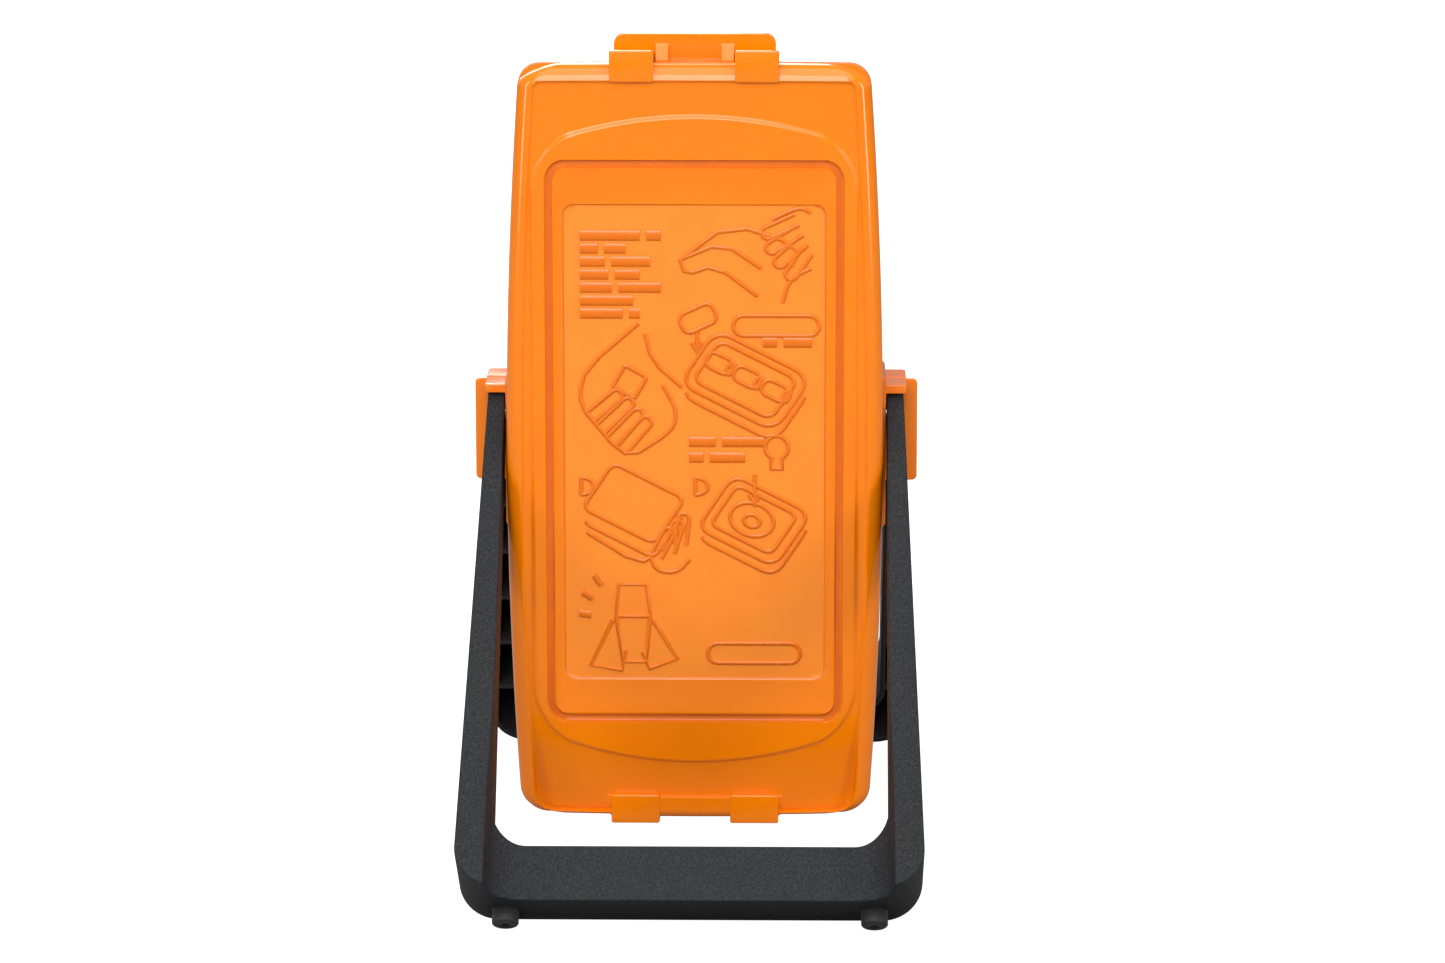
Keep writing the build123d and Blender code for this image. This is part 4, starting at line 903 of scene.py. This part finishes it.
class LAMP_OT_bows(bpy.types.Operator):
    """Finishes the two grey bows and their rubber feet"""
    bl_idname = "lamp.bows"
    bl_label = "Bows and feet"

    def execute(self, context):
        feet = ("rear_foot_right", "rear_foot_left", "front_foot_right", "front_foot_left")
        paint("grey", "rear_bow", "front_bow")
        paint("foot", *feet)
        soften(0.45, "rear_bow", "front_bow")
        soften(0.0, *feet)
        return {"FINISHED"}


LENS_HALF_HIGH = 42.5
LENS_CORNER = 9.0
LENS_FLANGE = 1.9          # thickness of the flange
LENS_ROUND = 5.0           # radius of the shoulder
LENS_SHOULDER = 7.6        # flange to the flat front
KNUCKLE_PIN, KNUCKLE = 1.05, 2.2       # radii of a hinge knuckle
KNUCKLE_PLACE = (0, -31.4, 90.9)
KNUCKLE_FROM, KNUCKLE_TO = 12.0, 20.0


def lens_skins(sizes):
    """The lens as rings of a rounded rectangle, each further in: out from the back over the flange and shoulder to
    the flat front, and back inside, where the flat is a waffle of sine pillows; and two hinge knuckles on top."""
    low, high = span("lens")
    back, face = high[1], low[1]
    half_x, half_z, margin = high[0], LENS_HALF_HIGH, sizes.margin
    middle = low[2] + half_z
    flange, shoulder = back - LENS_FLANGE, margin + LENS_SHOULDER
    turn = np.linspace(0, math.pi / 2, 9)
    outside = [(0.0, back), (0.0, flange + 0.4), (0.4, flange), (margin - 0.4, flange), (margin, flange - 0.4)]
    outside += list(zip(margin + 1.6 + LENS_ROUND * (1 - np.cos(turn)), face + LENS_ROUND * (1 - np.sin(turn))))
    outside += [(inset, face) for inset in np.linspace(shoulder, half_z - 0.6, 30)]
    # None stands for the pillows' own depth.
    inside = [(half_z - 0.6, None)] + [(inset, None) for inset in np.linspace(half_z - 1.6, shoulder, 42)]
    inside += [(margin + 4.2, face + sizes.wall + 3.0), (margin + 3.4, flange), (margin + 2.0, back)]
    rings = []
    for inset, depth in outside + inside:
        ring = rounded_ring(half_x, half_z, LENS_CORNER, inset, 24)
        if depth is None:
            pillow = np.abs(np.prod(np.sin(math.pi * ring / sizes.prism_pitch), axis=1))
            level = face + sizes.wall + sizes.prism_height * (0.4 - pillow)
        else:
            level = np.full(len(ring), depth)
        rings.append(np.stack([ring[:, 0], level, ring[:, 1] + middle], axis=-1))
    split = len(outside)
    shell = [skin(np.stack(rings[:split]), around=True, last=True),
             skin(np.stack(rings[split:]), around=True, first=True),
             skin(np.stack([rings[-1], rings[0]]), around=True)]
    for side in (-1, 1):
        start, end = sorted((side * KNUCKLE_FROM, side * KNUCKLE_TO))
        shell.append(lathe([(KNUCKLE_PIN, start), (KNUCKLE - 0.2, start), (KNUCKLE, start + 0.2),
                            (KNUCKLE, end - 0.2), (KNUCKLE - 0.2, end), (KNUCKLE_PIN, end), (KNUCKLE_PIN, start)],
                           KNUCKLE_PLACE, 32))
        shell.append(slab((side * 16.0, 88.6), 4.0, 1.5, 0.3, -31.6, -29.3, 0.2))
    return shell


class LAMP_OT_lens(bpy.types.Operator):
    """Makes the amber lens with its pillow prisms, and finishes the reflector and the bulb"""
    bl_idname = "lamp.lens"
    bl_label = "Lens and lamp"

    def execute(self, context):
        lens = piece("lens_shell", lens_skins(context.scene.lamp_lens), "lens_cover",
                     material_of("amber"), sharp=30)
        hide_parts("lens")
        paint("chrome", "reflector")
        paint("glass", "bulb_glass")
        paint("brass", "bulb_cap")
        paint("black", "bulb_socket")
        soften(0.0, "reflector", "bulb_glass", "bulb_cap", "bulb_socket")
        return {"FINISHED"}


SPRING_WIRE = 0.6     # diameter of the button spring's wire
SPRING_TURNS = 3


def winding(low, high, wire, turns):
    """A round wire wound about the depth axis, filling the box from low to high."""
    turn = np.linspace(0, turns * 2 * math.pi, turns * 28 + 1)
    radial = np.stack([np.cos(turn), np.zeros(len(turn)), np.sin(turn)], axis=-1)
    middle = (low + high) / 2
    path = radial * ((high[0] - low[0] - wire) / 2) + (middle[0], 0, middle[2])
    path[:, 1] = np.linspace(low[1] + wire / 2, high[1] - wire / 2, len(turn))
    section = np.linspace(0, 2 * math.pi, 9)[:-1, None]
    grid = path[:, None] + (np.cos(section) * radial[:, None] + np.sin(section) * (0, 1, 0)) * wire / 2
    return skin(grid, around=True, first=True, last=True)


class LAMP_OT_button(bpy.types.Operator):
    """Winds the push button's return spring, and finishes the cap and the switch behind it"""
    bl_idname = "lamp.button"
    bl_label = "Push button"

    def execute(self, context):
        paint("black", "button", "switch_body")
        soften(0.3, "button")
        low, high = span("button_spring")
        coil = piece("button_coil", [winding(low, high, SPRING_WIRE, SPRING_TURNS)], "case",
                     material_of("steel"))
        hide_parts("button_spring")
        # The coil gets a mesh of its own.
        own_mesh(coil)
        return {"FINISHED"}


class LAMP_OT_inside(bpy.types.Operator):
    """Finishes the cells, the tray, the contacts, the flasher and the wires"""
    bl_idname = "lamp.inside"
    bl_label = "Inside"

    def execute(self, context):
        cells = [f"battery_cell_{number}" for number in range(1, 6)]
        paint("cell", *cells)
        paint("tray", "battery_tray")
        paint("steel", "tray_screws")
        paint("brass", "contact_bridge", "lower_contacts", "pocket_contacts")
        paint("board", "flasher_board")
        paint("black", "flasher_relay", "wire_return")
        paint("sleeve", "flasher_capacitor")
        paint("red", "wire_live")
        paint("foam", "cell_pads")
        soften(0.0, *cells, "flasher_capacitor")
        return {"FINISHED"}


GROUPS = {"lamp_cover": CoverSizes, "lamp_lens": LensSizes, "lamp_finishes": Finishes, "lamp_stage": StageSettings}
OPERATORS = (LAMP_OT_stage, LAMP_OT_case, LAMP_OT_cover, LAMP_OT_drawings, LAMP_OT_catches, LAMP_OT_bows,
             LAMP_OT_lens, LAMP_OT_button, LAMP_OT_inside)


class LAMP_PT_panel(bpy.types.Panel):
    """Sidebar panel that lists the lamp's sizes, colours and pieces"""
    bl_idname = "LAMP_PT_panel"
    bl_label = "Flasher lamp"
    bl_space_type = "VIEW_3D"
    bl_region_type = "UI"
    bl_category = "Lamp"

    def draw(self, context):
        for name, group in GROUPS.items():
            box = self.layout.box()
            box.label(text=group.__name__)
            for key in group.__annotations__:
                box.prop(getattr(context.scene, name), key)
        for operator in OPERATORS:
            self.layout.operator(operator.bl_idname)


def register():
    for cls in (*GROUPS.values(), *OPERATORS, LAMP_PT_panel):
        bpy.utils.register_class(cls)
    for name, group in GROUPS.items():
        setattr(bpy.types.Scene, name, PointerProperty(type=group))


def unregister():
    for name in GROUPS:
        delattr(bpy.types.Scene, name)
    for cls in reversed((*GROUPS.values(), *OPERATORS, LAMP_PT_panel)):
        bpy.utils.unregister_class(cls)


def main():
    """Registers the classes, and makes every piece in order."""
    register()
    for operator in OPERATORS:
        group, name = operator.bl_idname.split(".")
        getattr(getattr(bpy.ops, group), name)()


if __name__ == "__main__":
    main()
